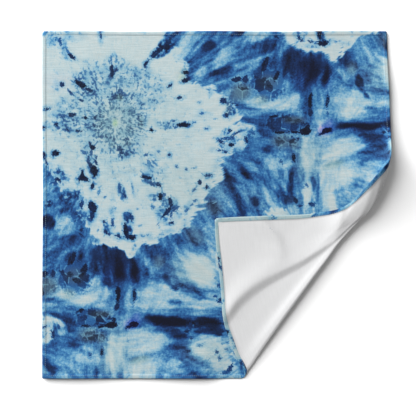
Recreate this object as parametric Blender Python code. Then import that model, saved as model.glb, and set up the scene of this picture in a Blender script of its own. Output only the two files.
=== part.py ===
"""Bandana: one square of printed cotton with a narrow hem. It lies flat with its printed side up, and its
lower right corner is turned back over the top. The cloth is one solid.

How the shape is made: straight lines are drawn on the flat square, all parallel to the fold. Each line is
then carried to where the cloth lies. One end follows the bottom edge, which turns sharply over at the foot of
the fold. The other follows the right-hand edge, which lifts off the table and turns over in a wide roll.
Between its two ends each line bulges, sinks and creases by a few named amounts. All sizes are in millimetres
until the last step.

x runs to the right, y away from the viewer's side of the table and z up. The flat square's lower left corner
is at 0, 0.
"""

import math

import bpy
import numpy as np

# The flat cloth.
WIDTH = 547.0
HEIGHT = 552.0
THICK = 1.2  # thicker than real cotton, so that the layers are solid
HEM_WIDTH = 6.0
HEM_EXTRA = 0.5  # how much thicker the cloth is along its hem
HEM_STEP = 0.8  # the slope from the hem down to the single cloth
CORNER_CUT = 2.0  # how far each end corner is rounded back, measured across the corner
EDGE_WAVE = 0.5  # how far the edges waver from straight
LEFT_WAVE, TOP_WAVE = 61.0, 34.0  # a radian of the waver along the left edge, and along the top edge

# The fold.
FOLD_FOOT = 319.4  # where the fold starts on the bottom edge
FOLD_ANGLE = math.radians(54.1)  # between the fold and the bottom edge
ALONG = np.array([math.cos(FOLD_ANGLE), math.sin(FOLD_ANGLE)])
ACROSS = np.array([math.sin(FOLD_ANGLE), -math.cos(FOLD_ANGLE)])
FOLD_TOP = (WIDTH - FOLD_FOOT) * math.tan(FOLD_ANGLE)  # where the flat fold line meets the right-hand edge
MID = THICK / 2

# Stretches measured past the fold, from where something starts to where it is in full.
TURN = (-60.0, -4.0)  # the cloth leaves the table and enters the roll
BULGE = (-58.0, -16.0)  # the fold stands out past the straight line
BULGE_END = (4.0, 75.0)  # and does so no more
RELIEF = (3.0, 18.0)  # the turned-back corner has its crease and ridges
SWELL_AT, SWELL_WIDTH = 5.0, 10.0
LIFT_FROM, LIFT_POWER = 0.5, 2.2  # the lift before the fold: from which share of a line on, and how late

# Where the two free edges lie once the corner is turned back.
# Columns: run along the flat edge past the fold line, then x, y and z of the middle of the cloth.
BOTTOM_EDGE = (
    (-3.0, 316.4, 0.2, 0.6),
    (-0.5, 320.1, 2.2, 1.6),
    (1.5, 321.2, 4.8, 2.8),
    (4.0, 320.7, 9.6, 3.6),
    (8.0, 318.6, 14.6, 3.4),
    (27.0, 308.8, 31.8, 2.7),
    (51.0, 299.0, 57.3, 2.6),
    (77.0, 289.3, 84.9, 2.8),
    (94.0, 285.8, 103.5, 3.2),
    (111.0, 284.8, 120.8, 2.9),
    (156.0, 280.5, 172.7, 2.6),
    (197.0, 275.2, 219.3, 2.6),
    (227.6, 273.6, 254.7, 2.6),
)
RIGHT_EDGE = (
    (-237.6, 547.0, 552.0, 0.6),
    (-190.0, 548.6, 505.0, 1.4),
    (-138.6, 550.6, 458.4, 4.0),
    (-88.0, 552.0, 410.6, 9.0),
    (-54.0, 552.6, 378.7, 15.0),
    (-35.6, 552.2, 362.6, 22.0),
    (-22.3, 550.4, 352.1, 29.0),
    (-11.8, 546.6, 344.1, 33.5),
    (0.6, 539.0, 335.5, 36.0),
    (15.4, 529.4, 325.3, 35.2),
    (27.6, 522.0, 316.4, 33.0),
    (40.3, 514.3, 308.1, 29.2),
    (54.1, 506.3, 298.4, 24.6),
    (68.7, 497.8, 288.7, 19.6),
    (78.4, 492.2, 282.6, 15.8),
    (93.3, 481.2, 275.0, 10.8),
    (113.2, 464.1, 268.0, 6.8),
    (132.6, 446.1, 265.0, 4.4),
    (159.4, 420.9, 261.5, 3.0),
    (191.3, 390.6, 259.9, 2.6),
    (240.9, 343.4, 258.2, 2.6),
    (278.3, 307.9, 256.9, 2.6),
    (314.4, 273.6, 254.7, 2.6),
)

# The roll between the two edges.
# Columns: share of the way from the bottom edge to the right-hand edge, share of the roll's height, how far
# the fold stands out past the straight line, and how far it swells above its foot.
ROLL = (
    (0.0, 0.0, 0.0, 0.0),
    (0.1, 0.04, 0.0, 1.8),
    (0.25, 0.08, 1.6, 3.0),
    (0.4, 0.12, 4.0, 3.0),
    (0.5, 0.14, 5.8, 2.6),
    (0.58, 0.16, 7.8, 1.8),
    (0.65, 0.18, 8.6, 1.2),
    (0.7, 0.21, 11.2, 0.6),
    (0.75, 0.26, 14.4, 0.2),
    (0.79, 0.32, 17.6, 0.0),
    (0.825, 0.41, 20.8, 0.0),
    (0.86, 0.52, 20.0, 0.0),
    (0.94, 0.8, 11.0, 0.0),
    (1.0, 1.0, 0.0, 0.0),
)
# The crease across the turned-back corner. The cloth steps down over it towards the fold.
# Columns: x and y along the crease, the height of the step there and the step's half width.
CREASE = (
    (284.0, 86.0, 1.6, 6.2),
    (295.0, 96.5, 3.4, 6.8),
    (312.0, 119.0, 3.6, 6.6),
    (331.0, 136.0, 3.4, 6.2),
    (354.0, 151.5, 3.1, 5.6),
    (378.0, 164.5, 2.8, 4.8),
    (404.0, 178.0, 2.6, 4.2),
    (430.0, 194.0, 2.3, 3.6),
    (452.0, 208.5, 2.1, 3.2),
    (466.0, 218.0, 1.6, 2.8),
    (480.0, 228.0, 0.0, 2.8),
)
CREASE_SLANT = math.radians(38)  # between the crease and the x axis
CREASE_ROUNDING = 0.12  # of the step's slope, at each end
STEP_BACK = 24.0  # how far behind the crease the cloth is down on the layer below again
# Two soft ridges of the turned-back corner run down from its top hem. Each rises slowly on its left and drops
# on its right. Columns: y along the ridge, its x and its height.
MIDDLE_RIDGE = (
    (174.0, 383.0, 0.0),
    (190.0, 382.0, 0.6),
    (202.0, 380.5, 1.3),
    (220.0, 377.0, 1.7),
    (235.0, 367.0, 1.7),
    (247.0, 356.0, 1.5),
    (258.0, 348.0, 1.4),
)
KINK_RIDGE = (
    (220.0, 470.0, 0.0),
    (232.0, 471.5, 2.4),
    (248.0, 473.5, 4.6),
    (264.0, 475.5, 5.0),
    (280.0, 477.5, 5.0),
)
RIDGES = ((MIDDLE_RIDGE, 26.0, 6.0), (KINK_RIDGE, 16.0, 16.0))  # with their soft widths on the left and right


def smooth(at, table, column):
    """A cubic through one column of a table, read at places in its first column."""
    rows = np.array(table)
    x, y = rows[:, 0], rows[:, column]
    slope = np.gradient(y, x)
    at = np.clip(at, x[0], x[-1])
    i = np.clip(np.searchsorted(x, at, side="right") - 1, 0, len(x) - 2)
    h = x[i + 1] - x[i]
    s = (at - x[i]) / h
    rise = y[i] * (1 + 2 * s) * (1 - s) ** 2 + y[i + 1] * s**2 * (3 - 2 * s)
    return rise + h * s * (1 - s) * (slope[i] * (1 - s) - slope[i + 1] * s)


def ease(value, start, end):
    """0 before start, 1 past end, and a soft S between them."""
    s = np.clip((value - start) / (end - start), 0, 1)
    return s * s * (3 - 2 * s)


def ramp(share, rounding):
    """0 to 1 as the share goes from 0 to 1, on a straight slope with both ends rounded: the mean of a clipped
    share over the stretch of twice the rounding around it."""
    low, high = share - rounding, share + rounding
    area = [np.where(v < 1, np.maximum(v, 0) ** 2 / 2, v - 0.5) for v in (low, high)]
    return (area[1] - area[0]) / (2 * rounding)


def flat_ends(d):
    """Both ends on the flat square of each line parallel to the fold, at distances d past it."""
    start = np.stack([FOLD_FOOT + d / ACROSS[0], 0 * d], -1)
    left = start[:, 0] < 0
    start[left] = np.stack([0 * d, -start[:, 0] * math.tan(FOLD_ANGLE)], -1)[left]
    end = np.stack([WIDTH + 0 * d, FOLD_TOP - d / ALONG[0]], -1)
    top = end[:, 1] > HEIGHT
    over = (end[:, 1] - HEIGHT) / math.tan(FOLD_ANGLE)
    end[top] = np.stack([WIDTH - over, HEIGHT + 0 * d], -1)[top]
    return start, end


def laid_ends(start, end):
    """Where those ends lie: in place on the table, or along the two edge tables past the fold."""
    a = np.column_stack([start, np.full(len(start), MID)])
    b = np.column_stack([end, np.full(len(end), MID)])
    run = start[:, 0] - FOLD_FOOT
    turned = (start[:, 1] == 0) & (run > BOTTOM_EDGE[0][0])
    a[turned] = np.stack([smooth(run, BOTTOM_EDGE, c) for c in (1, 2, 3)], -1)[turned]
    run = FOLD_TOP - end[:, 1]
    turned = end[:, 0] == WIDTH
    b[turned] = np.stack([smooth(run, RIGHT_EDGE, c) for c in (1, 2, 3)], -1)[turned]
    a[:, 0] -= EDGE_WAVE * np.sin(start[:, 1] / LEFT_WAVE) * (start[:, 0] == 0)
    b[:, 1] += EDGE_WAVE * np.sin(end[:, 0] / TOP_WAVE) * (end[:, 1] == HEIGHT)
    return a, b


def relief(x, y):
    """How far the turned-back corner stands above its smooth course: the crease's step and two ridges."""
    off = (y - smooth(x, CREASE, 1)) * math.cos(CREASE_SLANT)
    half = smooth(x, CREASE, 3)
    fall = np.exp(-((np.maximum(off - half, 0) / STEP_BACK) ** 2))
    height = smooth(x, CREASE, 2) * ramp(off / (2 * half) + 0.5, CREASE_ROUNDING) * fall
    for line, left, right in RIDGES:
        beside = x - smooth(y, line, 1)
        slow = np.exp(-((np.minimum(beside, 0) / left) ** 2))
        height += smooth(y, line, 2) * slow * np.exp(-np.maximum(beside, 0) / right)
    return height


def lay(d, share):
    """Each point's place on the flat square and on the table: a line's two ends, mixed by share, with the
    roll's height, its bulge and the corner's relief added."""
    start, end = flat_ends(d)
    a, b = laid_ends(start, end)
    flat = start[:, None] + (end - start)[:, None] * share[..., None]
    past = d[:, None]
    turn = ease(past, *TURN)
    near, far = (1 - share)[..., None], share[..., None] ** (3 - 2 * turn)[..., None]
    place = np.zeros(share.shape + (3,))
    place[..., :2] = flat + (a[:, None, :2] - start[:, None]) * near + (b[:, None, :2] - end[:, None]) * far
    lifted = np.clip((share - LIFT_FROM) / (1 - LIFT_FROM), 0, 1) ** LIFT_POWER
    height = lifted * (1 - turn) + smooth(share, ROLL, 1) * turn
    place[..., 2] = a[:, None, 2] + (b[:, None, 2] - a[:, None, 2]) * height
    out = smooth(share, ROLL, 2) * ease(past, *BULGE) * (1 - ease(past, *BULGE_END))
    place[..., :2] += out[..., None] * ACROSS
    place[..., 2] += smooth(share, ROLL, 3) * np.exp(-(((past - SWELL_AT) / SWELL_WIDTH) ** 2))
    place[..., 2] += relief(place[..., 0], place[..., 1]) * ease(past, *RELIEF)
    return flat, place


# How far past the fold the square's four corners are.
TIP = (WIDTH - FOLD_FOOT) * ACROSS[0]
UPPER_LEFT = -FOLD_FOOT * ACROSS[0] - HEIGHT * ALONG[0]
LOWER_LEFT = -FOLD_FOOT * ACROSS[0]
UPPER_RIGHT = (FOLD_TOP - HEIGHT) * ALONG[0]
# Where the lines lie, close together where the cloth bends.
# Columns: from and to, measured past the fold, and the number of lines.
STRETCHES = (
    (UPPER_LEFT + CORNER_CUT, LOWER_LEFT, 11),
    (LOWER_LEFT, UPPER_RIGHT, 4),
    (UPPER_RIGHT, -64.0, 4),
    (-64.0, -26.0, 7),
    (-26.0, -3.0, 7),
    (-3.0, 4.0, 9),
    (4.0, 44.0, 11),
    (44.0, 120.0, 14),
    (120.0, TIP - CORNER_CUT, 6),
)
# Where the points lie along each line, as shares of the single cloth between the two hems.
POINTS = (
    (0, 0.09, 0.18, 0.26, 0.33, 0.39, 0.45, 0.5, 0.55, 0.6),
    (0.645, 0.69, 0.73, 0.77, 0.81, 0.85, 0.89, 0.93, 0.965, 1),
)
SHORT_HEM = (0.3, 0.7)  # the same for a line beside a corner, which is hem from end to end
LEVEL = 0.3  # how far the middle may be above MID where the underside is still level


def line_places():
    """How far past the fold each line is."""
    runs = [np.linspace(low, high, count, endpoint=False) for low, high, count in STRETCHES]
    return np.concatenate(runs + [[TIP - CORNER_CUT]])


def shares(d):
    """The points along each line, with one at each side of the hem's slope."""
    start, end = flat_ends(d)
    way = end - start
    length = np.linalg.norm(way, axis=1)
    low, high = np.zeros(len(d)), np.ones(len(d))
    for axis, size in ((0, WIDTH), (1, HEIGHT)):
        low = np.maximum(low, (HEM_WIDTH - start[:, axis]) / way[:, axis])
        high = np.minimum(high, (size - HEM_WIDTH - start[:, axis]) / way[:, axis])
    short = (high - low) * length < 4 * HEM_STEP
    low[short], high[short] = SHORT_HEM
    step = np.minimum(HEM_STEP / length, (high - low) / 4)
    first, last = low + step, high - step
    middle = first[:, None] + (last - first)[:, None] * np.concatenate(POINTS)
    return np.column_stack([0 * d, low, middle, high, 0 * d + 1])


def thickness(flat):
    """The cloth is thicker along its hem."""
    x, y = flat[..., 0], flat[..., 1]
    inside = np.minimum(np.minimum(x, WIDTH - x), np.minimum(y, HEIGHT - y))
    return THICK + HEM_EXTRA * (1 - ease(inside, HEM_WIDTH + 0.01, HEM_WIDTH + HEM_STEP / 2))


def bandana():
    """The closed skin of the cloth: its front, its back and the narrow wall round its edge."""
    d = line_places()
    share = shares(d)
    flat, middle = lay(d, share)
    thick = thickness(flat)
    middle[..., 2] += (thick - THICK) / 2
    normal = np.cross(np.gradient(middle, axis=0), np.gradient(middle, axis=1))
    normal /= np.linalg.norm(normal, axis=-1, keepdims=True)
    on_table = middle[..., 2:] < MID + LEVEL  # what lies on the table keeps a level underside
    normal = np.where(on_table, np.array([0, 0, 1.0]), normal)
    front = middle + normal * thick[..., None] / 2
    back = middle - normal * thick[..., None] / 2
    points = np.concatenate([front.reshape(-1, 3), back.reshape(-1, 3)])
    rows, cols = share.shape
    n = rows * cols
    i = np.arange(n).reshape(rows, cols)
    quad = np.stack([i[:-1, :-1], i[1:, :-1], i[1:, 1:], i[:-1, 1:]], -1).reshape(-1, 4)
    rim = np.concatenate([i[0, :-1], i[:-1, -1], i[-1, :0:-1], i[:0:-1, 0]])
    after = np.roll(rim, -1)
    wall = np.stack([rim, after, after + n, rim + n], -1)
    return points, np.concatenate([quad, quad[:, ::-1] + n, wall])


SHARP = math.radians(40)  # the edge of the cloth stays sharp, and its folds are shaded smooth
COLOUR = (0.22, 0.36, 0.55, 1.0)
ROUGHNESS = 0.9


def add_object(name, points, faces):
    """One mesh in metres, centred on its bounding box with its lowest point at z = 0."""
    low, high = points.min(0), points.max(0)
    centre = np.array([(low[0] + high[0]) / 2, (low[1] + high[1]) / 2, low[2]])
    mesh = bpy.data.meshes.new(name)
    mesh.from_pydata(((points - centre) * 0.001).tolist(), [], faces.tolist())
    mesh.validate()
    mesh.polygons.foreach_set("use_smooth", [True] * len(mesh.polygons))
    mesh.set_sharp_from_angle(angle=SHARP)
    material = bpy.data.materials.new(name)
    material.use_nodes = True
    shader = material.node_tree.nodes["Principled BSDF"]
    shader.inputs["Base Color"].default_value = COLOUR
    shader.inputs["Roughness"].default_value = ROUGHNESS
    mesh.materials.append(material)
    bpy.context.scene.collection.objects.link(bpy.data.objects.new(name, mesh))
    print(name, "mm", np.round(high - low, 1), "centre", np.round(centre, 2), "faces", len(faces))


for old in list(bpy.data.objects):
    bpy.data.objects.remove(old)
add_object("cloth", *bandana())
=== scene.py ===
# %% [markdown]
# # A tie-dyed cotton bandana, lying flat with one corner turned back
#
# This notebook dresses one square of printed cotton. Its solid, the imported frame, already has the true
# shape: a square lying on a table with its lower right corner folded over the top in a soft roll. Here it
# becomes cloth: a thin sheet with a turned hem and a row of stitches, an indigo tie-dye print on the front
# and plain white behind.

import math

import bpy
import numpy as np
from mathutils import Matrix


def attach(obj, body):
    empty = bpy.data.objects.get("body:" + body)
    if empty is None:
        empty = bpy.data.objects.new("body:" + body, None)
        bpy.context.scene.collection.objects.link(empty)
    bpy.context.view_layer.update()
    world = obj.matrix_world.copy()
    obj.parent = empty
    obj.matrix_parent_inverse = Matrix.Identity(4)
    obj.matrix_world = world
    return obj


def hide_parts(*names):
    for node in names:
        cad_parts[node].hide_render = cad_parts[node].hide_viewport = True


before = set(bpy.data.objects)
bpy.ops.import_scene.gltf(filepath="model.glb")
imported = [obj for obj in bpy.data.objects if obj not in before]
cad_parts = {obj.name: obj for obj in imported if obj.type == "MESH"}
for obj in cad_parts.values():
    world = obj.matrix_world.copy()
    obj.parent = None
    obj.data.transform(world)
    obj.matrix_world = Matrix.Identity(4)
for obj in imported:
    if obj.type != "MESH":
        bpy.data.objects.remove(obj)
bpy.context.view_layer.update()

MM = 0.001  # the cloth's own sizes are in millimetres, and Blender's are in metres

# %% [markdown]
# ## The camera
#
# The photograph looks straight down on the cloth from a distance, as over a copy stand. A long lens far
# away keeps the square's sides parallel. The view is set from two facts: what point of the table is in the
# middle of the picture, and how wide a piece of the table the picture shows.

# %% Camera straight above
CAMERA_HEIGHT = 2.6
VIEW_WIDTH = 0.6613  # how much of the table the square picture spans
VIEW_CENTRE = (-0.0133, -0.0051)

camera_data = bpy.data.cameras.new("camera")
camera_data.sensor_width = 36.0
camera_data.lens = camera_data.sensor_width * CAMERA_HEIGHT / VIEW_WIDTH
camera_data.clip_end = 20.0
camera = bpy.data.objects.new("camera", camera_data)
camera.location = (*VIEW_CENTRE, CAMERA_HEIGHT)
bpy.context.scene.collection.objects.link(camera)
bpy.context.scene.camera = camera
bpy.context.scene.view_settings.view_transform = "Standard"
print("lens, mm:", round(camera_data.lens, 1))

# %% [markdown]
# ## How the cloth lies
#
# Folding can be simulated, but a fold that has to match a photograph is easier to lay from given tables.
# Straight lines are drawn on the flat square, all parallel to the fold. One end of each line follows the
# bottom edge, which turns sharply over at the foot of the fold. The other follows the right-hand edge,
# which lifts off the table and turns over in a wide roll. Each line stays nearly straight between its two
# ends, as the lines of a bent sheet of paper do, so the cloth mostly bends. Only near the turned-back
# corner's own edges does it stretch or shrink, the lower one by a seventh, to meet the photograph's
# outline. The sizes are the solid's own, so the sheet lies where the solid does, but for the crease's step
# and the middle ridge: they stand up to 2.4 mm higher here, for the photograph's soft shadows.

# %% Sizes of the flat cloth and of the fold, in millimetres
WIDTH = 547.0
HEIGHT = 552.0
HEM_WIDTH = 6.0
CORNER_CUT = 2.0  # how far each end corner is rounded back
EDGE_WAVE = 0.5  # how far the edges waver from straight
LEFT_WAVE, TOP_WAVE = 61.0, 34.0  # a radian of the waver along the left edge, and along the top edge
SOLID_CENTRE = (276.4, 276.2)  # the middle of the laid cloth, from the flat square's lower left corner

FOLD_FOOT = 319.4  # where the fold starts on the bottom edge
FOLD_ANGLE = math.radians(54.1)  # between the fold and the bottom edge
ALONG = np.array([math.cos(FOLD_ANGLE), math.sin(FOLD_ANGLE)])
ACROSS = np.array([math.sin(FOLD_ANGLE), -math.cos(FOLD_ANGLE)])
FOLD_TOP = (WIDTH - FOLD_FOOT) * math.tan(FOLD_ANGLE)  # where the flat fold line meets the right-hand edge
MID = 0.6  # half the solid's thickness
print("fold on the flat cloth, mm:", round(float(FOLD_TOP / ALONG[1]), 1))

# Stretches measured past the fold, from where something starts to where it is in full.
TURN = (-60.0, -4.0)  # the cloth leaves the table and enters the roll
BULGE = (-58.0, -16.0)  # the fold stands out past the straight line
BULGE_END = (4.0, 75.0)  # and does so no more
RELIEF = (3.0, 18.0)  # the turned-back corner has its crease and ridges
SWELL_AT, SWELL_WIDTH = 5.0, 10.0  # where the fold swells most above its foot, and how widely
LIFT_FROM, LIFT_POWER = 0.5, 2.2  # the lift before the fold: from which share of a line on, and how late

# %% Where the two free edges lie once the corner is turned back
# Columns: run along the flat edge past the fold, then x, y and z of the middle of the cloth.
BOTTOM_EDGE = (
    (-3.0, 316.4, 0.2, 0.6),
    (-0.5, 320.1, 2.2, 1.6),
    (1.5, 321.2, 4.8, 2.8),
    (4.0, 320.7, 9.6, 3.6),
    (8.0, 318.6, 14.6, 3.4),
    (27.0, 308.8, 31.8, 2.7),
    (51.0, 299.0, 57.3, 2.6),
    (77.0, 289.3, 84.9, 2.8),
    (94.0, 285.8, 103.5, 3.2),
    (111.0, 284.8, 120.8, 2.9),
    (156.0, 280.5, 172.7, 2.6),
    (197.0, 275.2, 219.3, 2.6),
    (227.6, 273.6, 254.7, 2.6),
)
RIGHT_EDGE = (
    (-237.6, 547.0, 552.0, 0.6),
    (-190.0, 548.6, 505.0, 1.4),
    (-138.6, 550.6, 458.4, 4.0),
    (-88.0, 552.0, 410.6, 9.0),
    (-54.0, 552.6, 378.7, 15.0),
    (-35.6, 552.2, 362.6, 22.0),
    (-22.3, 550.4, 352.1, 29.0),
    (-11.8, 546.6, 344.1, 33.5),
    (0.6, 539.0, 335.5, 36.0),
    (15.4, 529.4, 325.3, 35.2),
    (27.6, 522.0, 316.4, 33.0),
    (40.3, 514.3, 308.1, 29.2),
    (54.1, 506.3, 298.4, 24.6),
    (68.7, 497.8, 288.7, 19.6),
    (78.4, 492.2, 282.6, 15.8),
    (93.3, 481.2, 275.0, 10.8),
    (113.2, 464.1, 268.0, 6.8),
    (132.6, 446.1, 265.0, 4.4),
    (159.4, 420.9, 261.5, 3.0),
    (191.3, 390.6, 259.9, 2.6),
    (240.9, 343.4, 258.2, 2.6),
    (278.3, 307.9, 256.9, 2.6),
    (314.4, 273.6, 254.7, 2.6),
)
print("places along both edges:", len(BOTTOM_EDGE), len(RIGHT_EDGE))

# %% The roll between them, the crease and two ridges
# Columns: share of the way from the bottom edge to the right-hand edge, share of the roll's height, how far
# the fold stands out past the straight line, and how far it swells above its foot.
ROLL = (
    (0.0, 0.0, 0.0, 0.0),
    (0.1, 0.04, 0.0, 1.8),
    (0.25, 0.08, 1.6, 3.0),
    (0.4, 0.12, 4.0, 3.0),
    (0.5, 0.14, 5.8, 2.6),
    (0.58, 0.16, 7.8, 1.8),
    (0.65, 0.18, 8.6, 1.2),
    (0.7, 0.21, 11.2, 0.6),
    (0.75, 0.26, 14.4, 0.2),
    (0.79, 0.32, 17.6, 0.0),
    (0.825, 0.41, 20.8, 0.0),
    (0.86, 0.52, 20.0, 0.0),
    (0.94, 0.8, 11.0, 0.0),
    (1.0, 1.0, 0.0, 0.0),
)
# The crease across the turned-back corner. The cloth steps down over it towards the fold.
# Columns: x and y along the crease, the height of the step there and the step's half width.
CREASE = (
    (284.0, 86.0, 1.6, 6.2),
    (295.0, 96.5, 3.6, 6.8),
    (312.0, 119.0, 3.9, 6.6),
    (331.0, 136.0, 3.8, 6.2),
    (354.0, 151.5, 3.6, 5.6),
    (378.0, 164.5, 3.5, 4.9),
    (404.0, 178.0, 3.3, 4.3),
    (430.0, 194.0, 3.0, 3.6),
    (452.0, 208.5, 2.7, 3.2),
    (466.0, 218.0, 1.6, 2.8),
    (480.0, 228.0, 0.0, 2.8),
)
CREASE_SLANT = math.radians(38)  # between the crease and the x axis
CREASE_ROUNDING = 0.12  # of the step's slope, at each end
STEP_BACK = 24.0  # how far behind the crease the cloth is down on the layer below again
# Two soft ridges of the turned-back corner run down from its top hem. Each rises slowly on its left and
# drops on its right. Columns: y along the ridge, its x and its height.
MIDDLE_RIDGE = (
    (174.0, 383.0, 0.0),
    (190.0, 382.0, 0.9),
    (202.0, 380.5, 2.3),
    (220.0, 377.0, 3.4),
    (235.0, 367.0, 3.9),
    (247.0, 356.0, 3.9),
    (258.0, 348.0, 3.6),
)
KINK_RIDGE = (
    (220.0, 470.0, 0.0),
    (232.0, 471.5, 2.4),
    (248.0, 473.5, 4.6),
    (264.0, 475.5, 5.0),
    (280.0, 477.5, 5.0),
)
RIDGES = ((MIDDLE_RIDGE, 28.0, 8.0), (KINK_RIDGE, 16.0, 16.0))  # with their soft widths on the left and right
print("highest step of the crease, mm:", max(row[2] for row in CREASE))


# %% Helpers: a smooth curve through a short table, a soft step and a rounded slope
def smooth(at, table, column):
    """A cubic through one column of a table, read at places in its first column."""
    rows = np.array(table)
    x, y = rows[:, 0], rows[:, column]
    slope = np.gradient(y, x)
    at = np.clip(at, x[0], x[-1])
    i = np.clip(np.searchsorted(x, at, side="right") - 1, 0, len(x) - 2)
    h = x[i + 1] - x[i]
    s = (at - x[i]) / h
    rise = y[i] * (1 + 2 * s) * (1 - s) ** 2 + y[i + 1] * s**2 * (3 - 2 * s)
    return rise + h * s * (1 - s) * (slope[i] * (1 - s) - slope[i + 1] * s)


def ease(value, start, end):
    """0 before start, 1 past end, and a soft S between them."""
    s = np.clip((value - start) / (end - start), 0, 1)
    return s * s * (3 - 2 * s)


def ramp(share, rounding):
    """0 to 1 as the share goes from 0 to 1, on a straight slope with both ends rounded: the mean of a
    clipped share over the stretch of twice the rounding around it."""
    low, high = share - rounding, share + rounding
    area = [np.where(v < 1, np.maximum(v, 0) ** 2 / 2, v - 0.5) for v in (low, high)]
    return (area[1] - area[0]) / (2 * rounding)


# %% The lines of the flat square, and where their ends lie
def flat_ends(d):
    """Both ends on the flat square of each line parallel to the fold, at distances d past it."""
    start = np.stack([FOLD_FOOT + d / ACROSS[0], 0 * d], -1)
    left = start[:, 0] < 0
    start[left] = np.stack([0 * d, -start[:, 0] * math.tan(FOLD_ANGLE)], -1)[left]
    end = np.stack([WIDTH + 0 * d, FOLD_TOP - d / ALONG[0]], -1)
    top = end[:, 1] > HEIGHT
    over = (end[:, 1] - HEIGHT) / math.tan(FOLD_ANGLE)
    end[top] = np.stack([WIDTH - over, HEIGHT + 0 * d], -1)[top]
    return start, end


def laid_ends(start, end):
    """Where those ends lie: in place on the table, or along the two edge tables past the fold."""
    a = np.column_stack([start, np.full(len(start), MID)])
    b = np.column_stack([end, np.full(len(end), MID)])
    run = start[:, 0] - FOLD_FOOT
    turned = (start[:, 1] == 0) & (run > BOTTOM_EDGE[0][0])
    a[turned] = np.stack([smooth(run, BOTTOM_EDGE, c) for c in (1, 2, 3)], -1)[turned]
    run = FOLD_TOP - end[:, 1]
    turned = end[:, 0] == WIDTH
    b[turned] = np.stack([smooth(run, RIGHT_EDGE, c) for c in (1, 2, 3)], -1)[turned]
    a[:, 0] -= EDGE_WAVE * np.sin(start[:, 1] / LEFT_WAVE) * (start[:, 0] == 0)
    b[:, 1] += EDGE_WAVE * np.sin(end[:, 0] / TOP_WAVE) * (end[:, 1] == HEIGHT)
    return a, b


# %% The cloth's middle surface
def relief(x, y):
    """How far the turned-back corner stands above its smooth course: the crease's step and two ridges."""
    off = (y - smooth(x, CREASE, 1)) * math.cos(CREASE_SLANT)
    half = smooth(x, CREASE, 3)
    fall = np.exp(-((np.maximum(off - half, 0) / STEP_BACK) ** 2))
    height = smooth(x, CREASE, 2) * ramp(off / (2 * half) + 0.5, CREASE_ROUNDING) * fall
    for line, left, right in RIDGES:
        beside = x - smooth(y, line, 1)
        slow = np.exp(-((np.minimum(beside, 0) / left) ** 2))
        height += smooth(y, line, 2) * slow * np.exp(-np.maximum(beside, 0) / right)
    return height


def lay(d, share):
    """Each point's place on the flat square and on the table: a line's two ends, mixed by share, with the
    roll's height, its bulge and the corner's relief added."""
    start, end = flat_ends(d)
    a, b = laid_ends(start, end)
    flat = start[:, None] + (end - start)[:, None] * share[..., None]
    past = d[:, None]
    turn = ease(past, *TURN)
    near, far = (1 - share)[..., None], share[..., None] ** (3 - 2 * turn)[..., None]
    place = np.zeros(share.shape + (3,))
    place[..., :2] = flat + (a[:, None, :2] - start[:, None]) * near + (b[:, None, :2] - end[:, None]) * far
    lifted = np.clip((share - LIFT_FROM) / (1 - LIFT_FROM), 0, 1) ** LIFT_POWER
    height = lifted * (1 - turn) + smooth(share, ROLL, 1) * turn
    place[..., 2] = a[:, None, 2] + (b[:, None, 2] - a[:, None, 2]) * height
    out = smooth(share, ROLL, 2) * ease(past, *BULGE) * (1 - ease(past, *BULGE_END))
    place[..., :2] += out[..., None] * ACROSS
    place[..., 2] += smooth(share, ROLL, 3) * np.exp(-(((past - SWELL_AT) / SWELL_WIDTH) ** 2))
    place[..., 2] += relief(place[..., 0], place[..., 1]) * ease(past, *RELIEF)
    return flat, place


# %% [markdown]
# ## The sheet
#
# Real bandana cotton is about a quarter of a millimetre thick. The sheet is a closed skin: a finely divided
# front, which carries the print, a coarser back, and a narrow wall round the edge. The hem, where the edge
# is turned over twice, is a little thicker than the rest. Cotton never lies quite flat, so the lower edge
# and the top of the right edge curl up by a few millimetres, and their shadows become wider and softer.

# %% Thickness and curl of the sheet
CLOTH_THICK = 0.35
HEM_EXTRA = 0.35  # how much thicker the cloth is along its hem
HEM_SLOPE = (HEM_WIDTH - 0.1, HEM_WIDTH + 0.4)  # from the hem down to the single cloth
LOWERED = 0.16  # the thin sheet's middle lies this much lower than the thick solid's
CURL = 5.0  # how far the lower edge and the top of the right edge curl up
CURL_EVEN, CURL_WAVES = 0.7, 0.3  # the shares of it that are even and that come and go
CURL_WAVE = 31.0  # a radian of the wave with which it does so
CURL_WIDTH = 70.0  # how far in from the edge it reaches
CURL_START = (395.0, 470.0)  # where the right edge's own curl begins, above the roll's rise
CURL_END = (250.0, 300.0)  # where the lower edge's curl dies out before the fold


def edge_distance(flat):
    """How far inside the flat square's nearest edge each place is."""
    x, y = flat[..., 0], flat[..., 1]
    return np.minimum(np.minimum(x, WIDTH - x), np.minimum(y, HEIGHT - y))


def curl_wave(run):
    """How strong the curl is along an edge: it comes and goes, as a sine."""
    return CURL_EVEN + CURL_WAVES * np.sin(run / CURL_WAVE)


def sheet_middle(d, share):
    """Places on the flat cloth and on the laid sheet, with the sheet's thickness there. The hem is thicker
    and lies on its back, and two edges curl up a little from the table."""
    flat, middle = lay(d, share)
    thick = CLOTH_THICK + HEM_EXTRA * (1 - ease(edge_distance(flat), *HEM_SLOPE))
    x, y = flat[..., 0], flat[..., 1]
    low = curl_wave(x) * (1 - ease(y, 0, CURL_WIDTH)) * (1 - ease(x, *CURL_END))
    right = curl_wave(y) * ease(x, WIDTH - CURL_WIDTH, WIDTH) * ease(y, *CURL_START)
    middle[..., 2] += (thick - CLOTH_THICK) / 2 - LOWERED + CURL * np.maximum(low, right)
    return flat, middle, thick


def side(d, share, sign):
    """The front (sign 1) or the back (sign -1): half the thickness out along the cross product of both
    ways over the sheet."""
    flat, middle, thick = sheet_middle(d, share)
    normal = np.cross(np.gradient(middle, axis=0), np.gradient(middle, axis=1))
    normal /= np.linalg.norm(normal, axis=-1, keepdims=True)
    return flat, middle + sign * normal * thick[..., None] / 2


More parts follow.
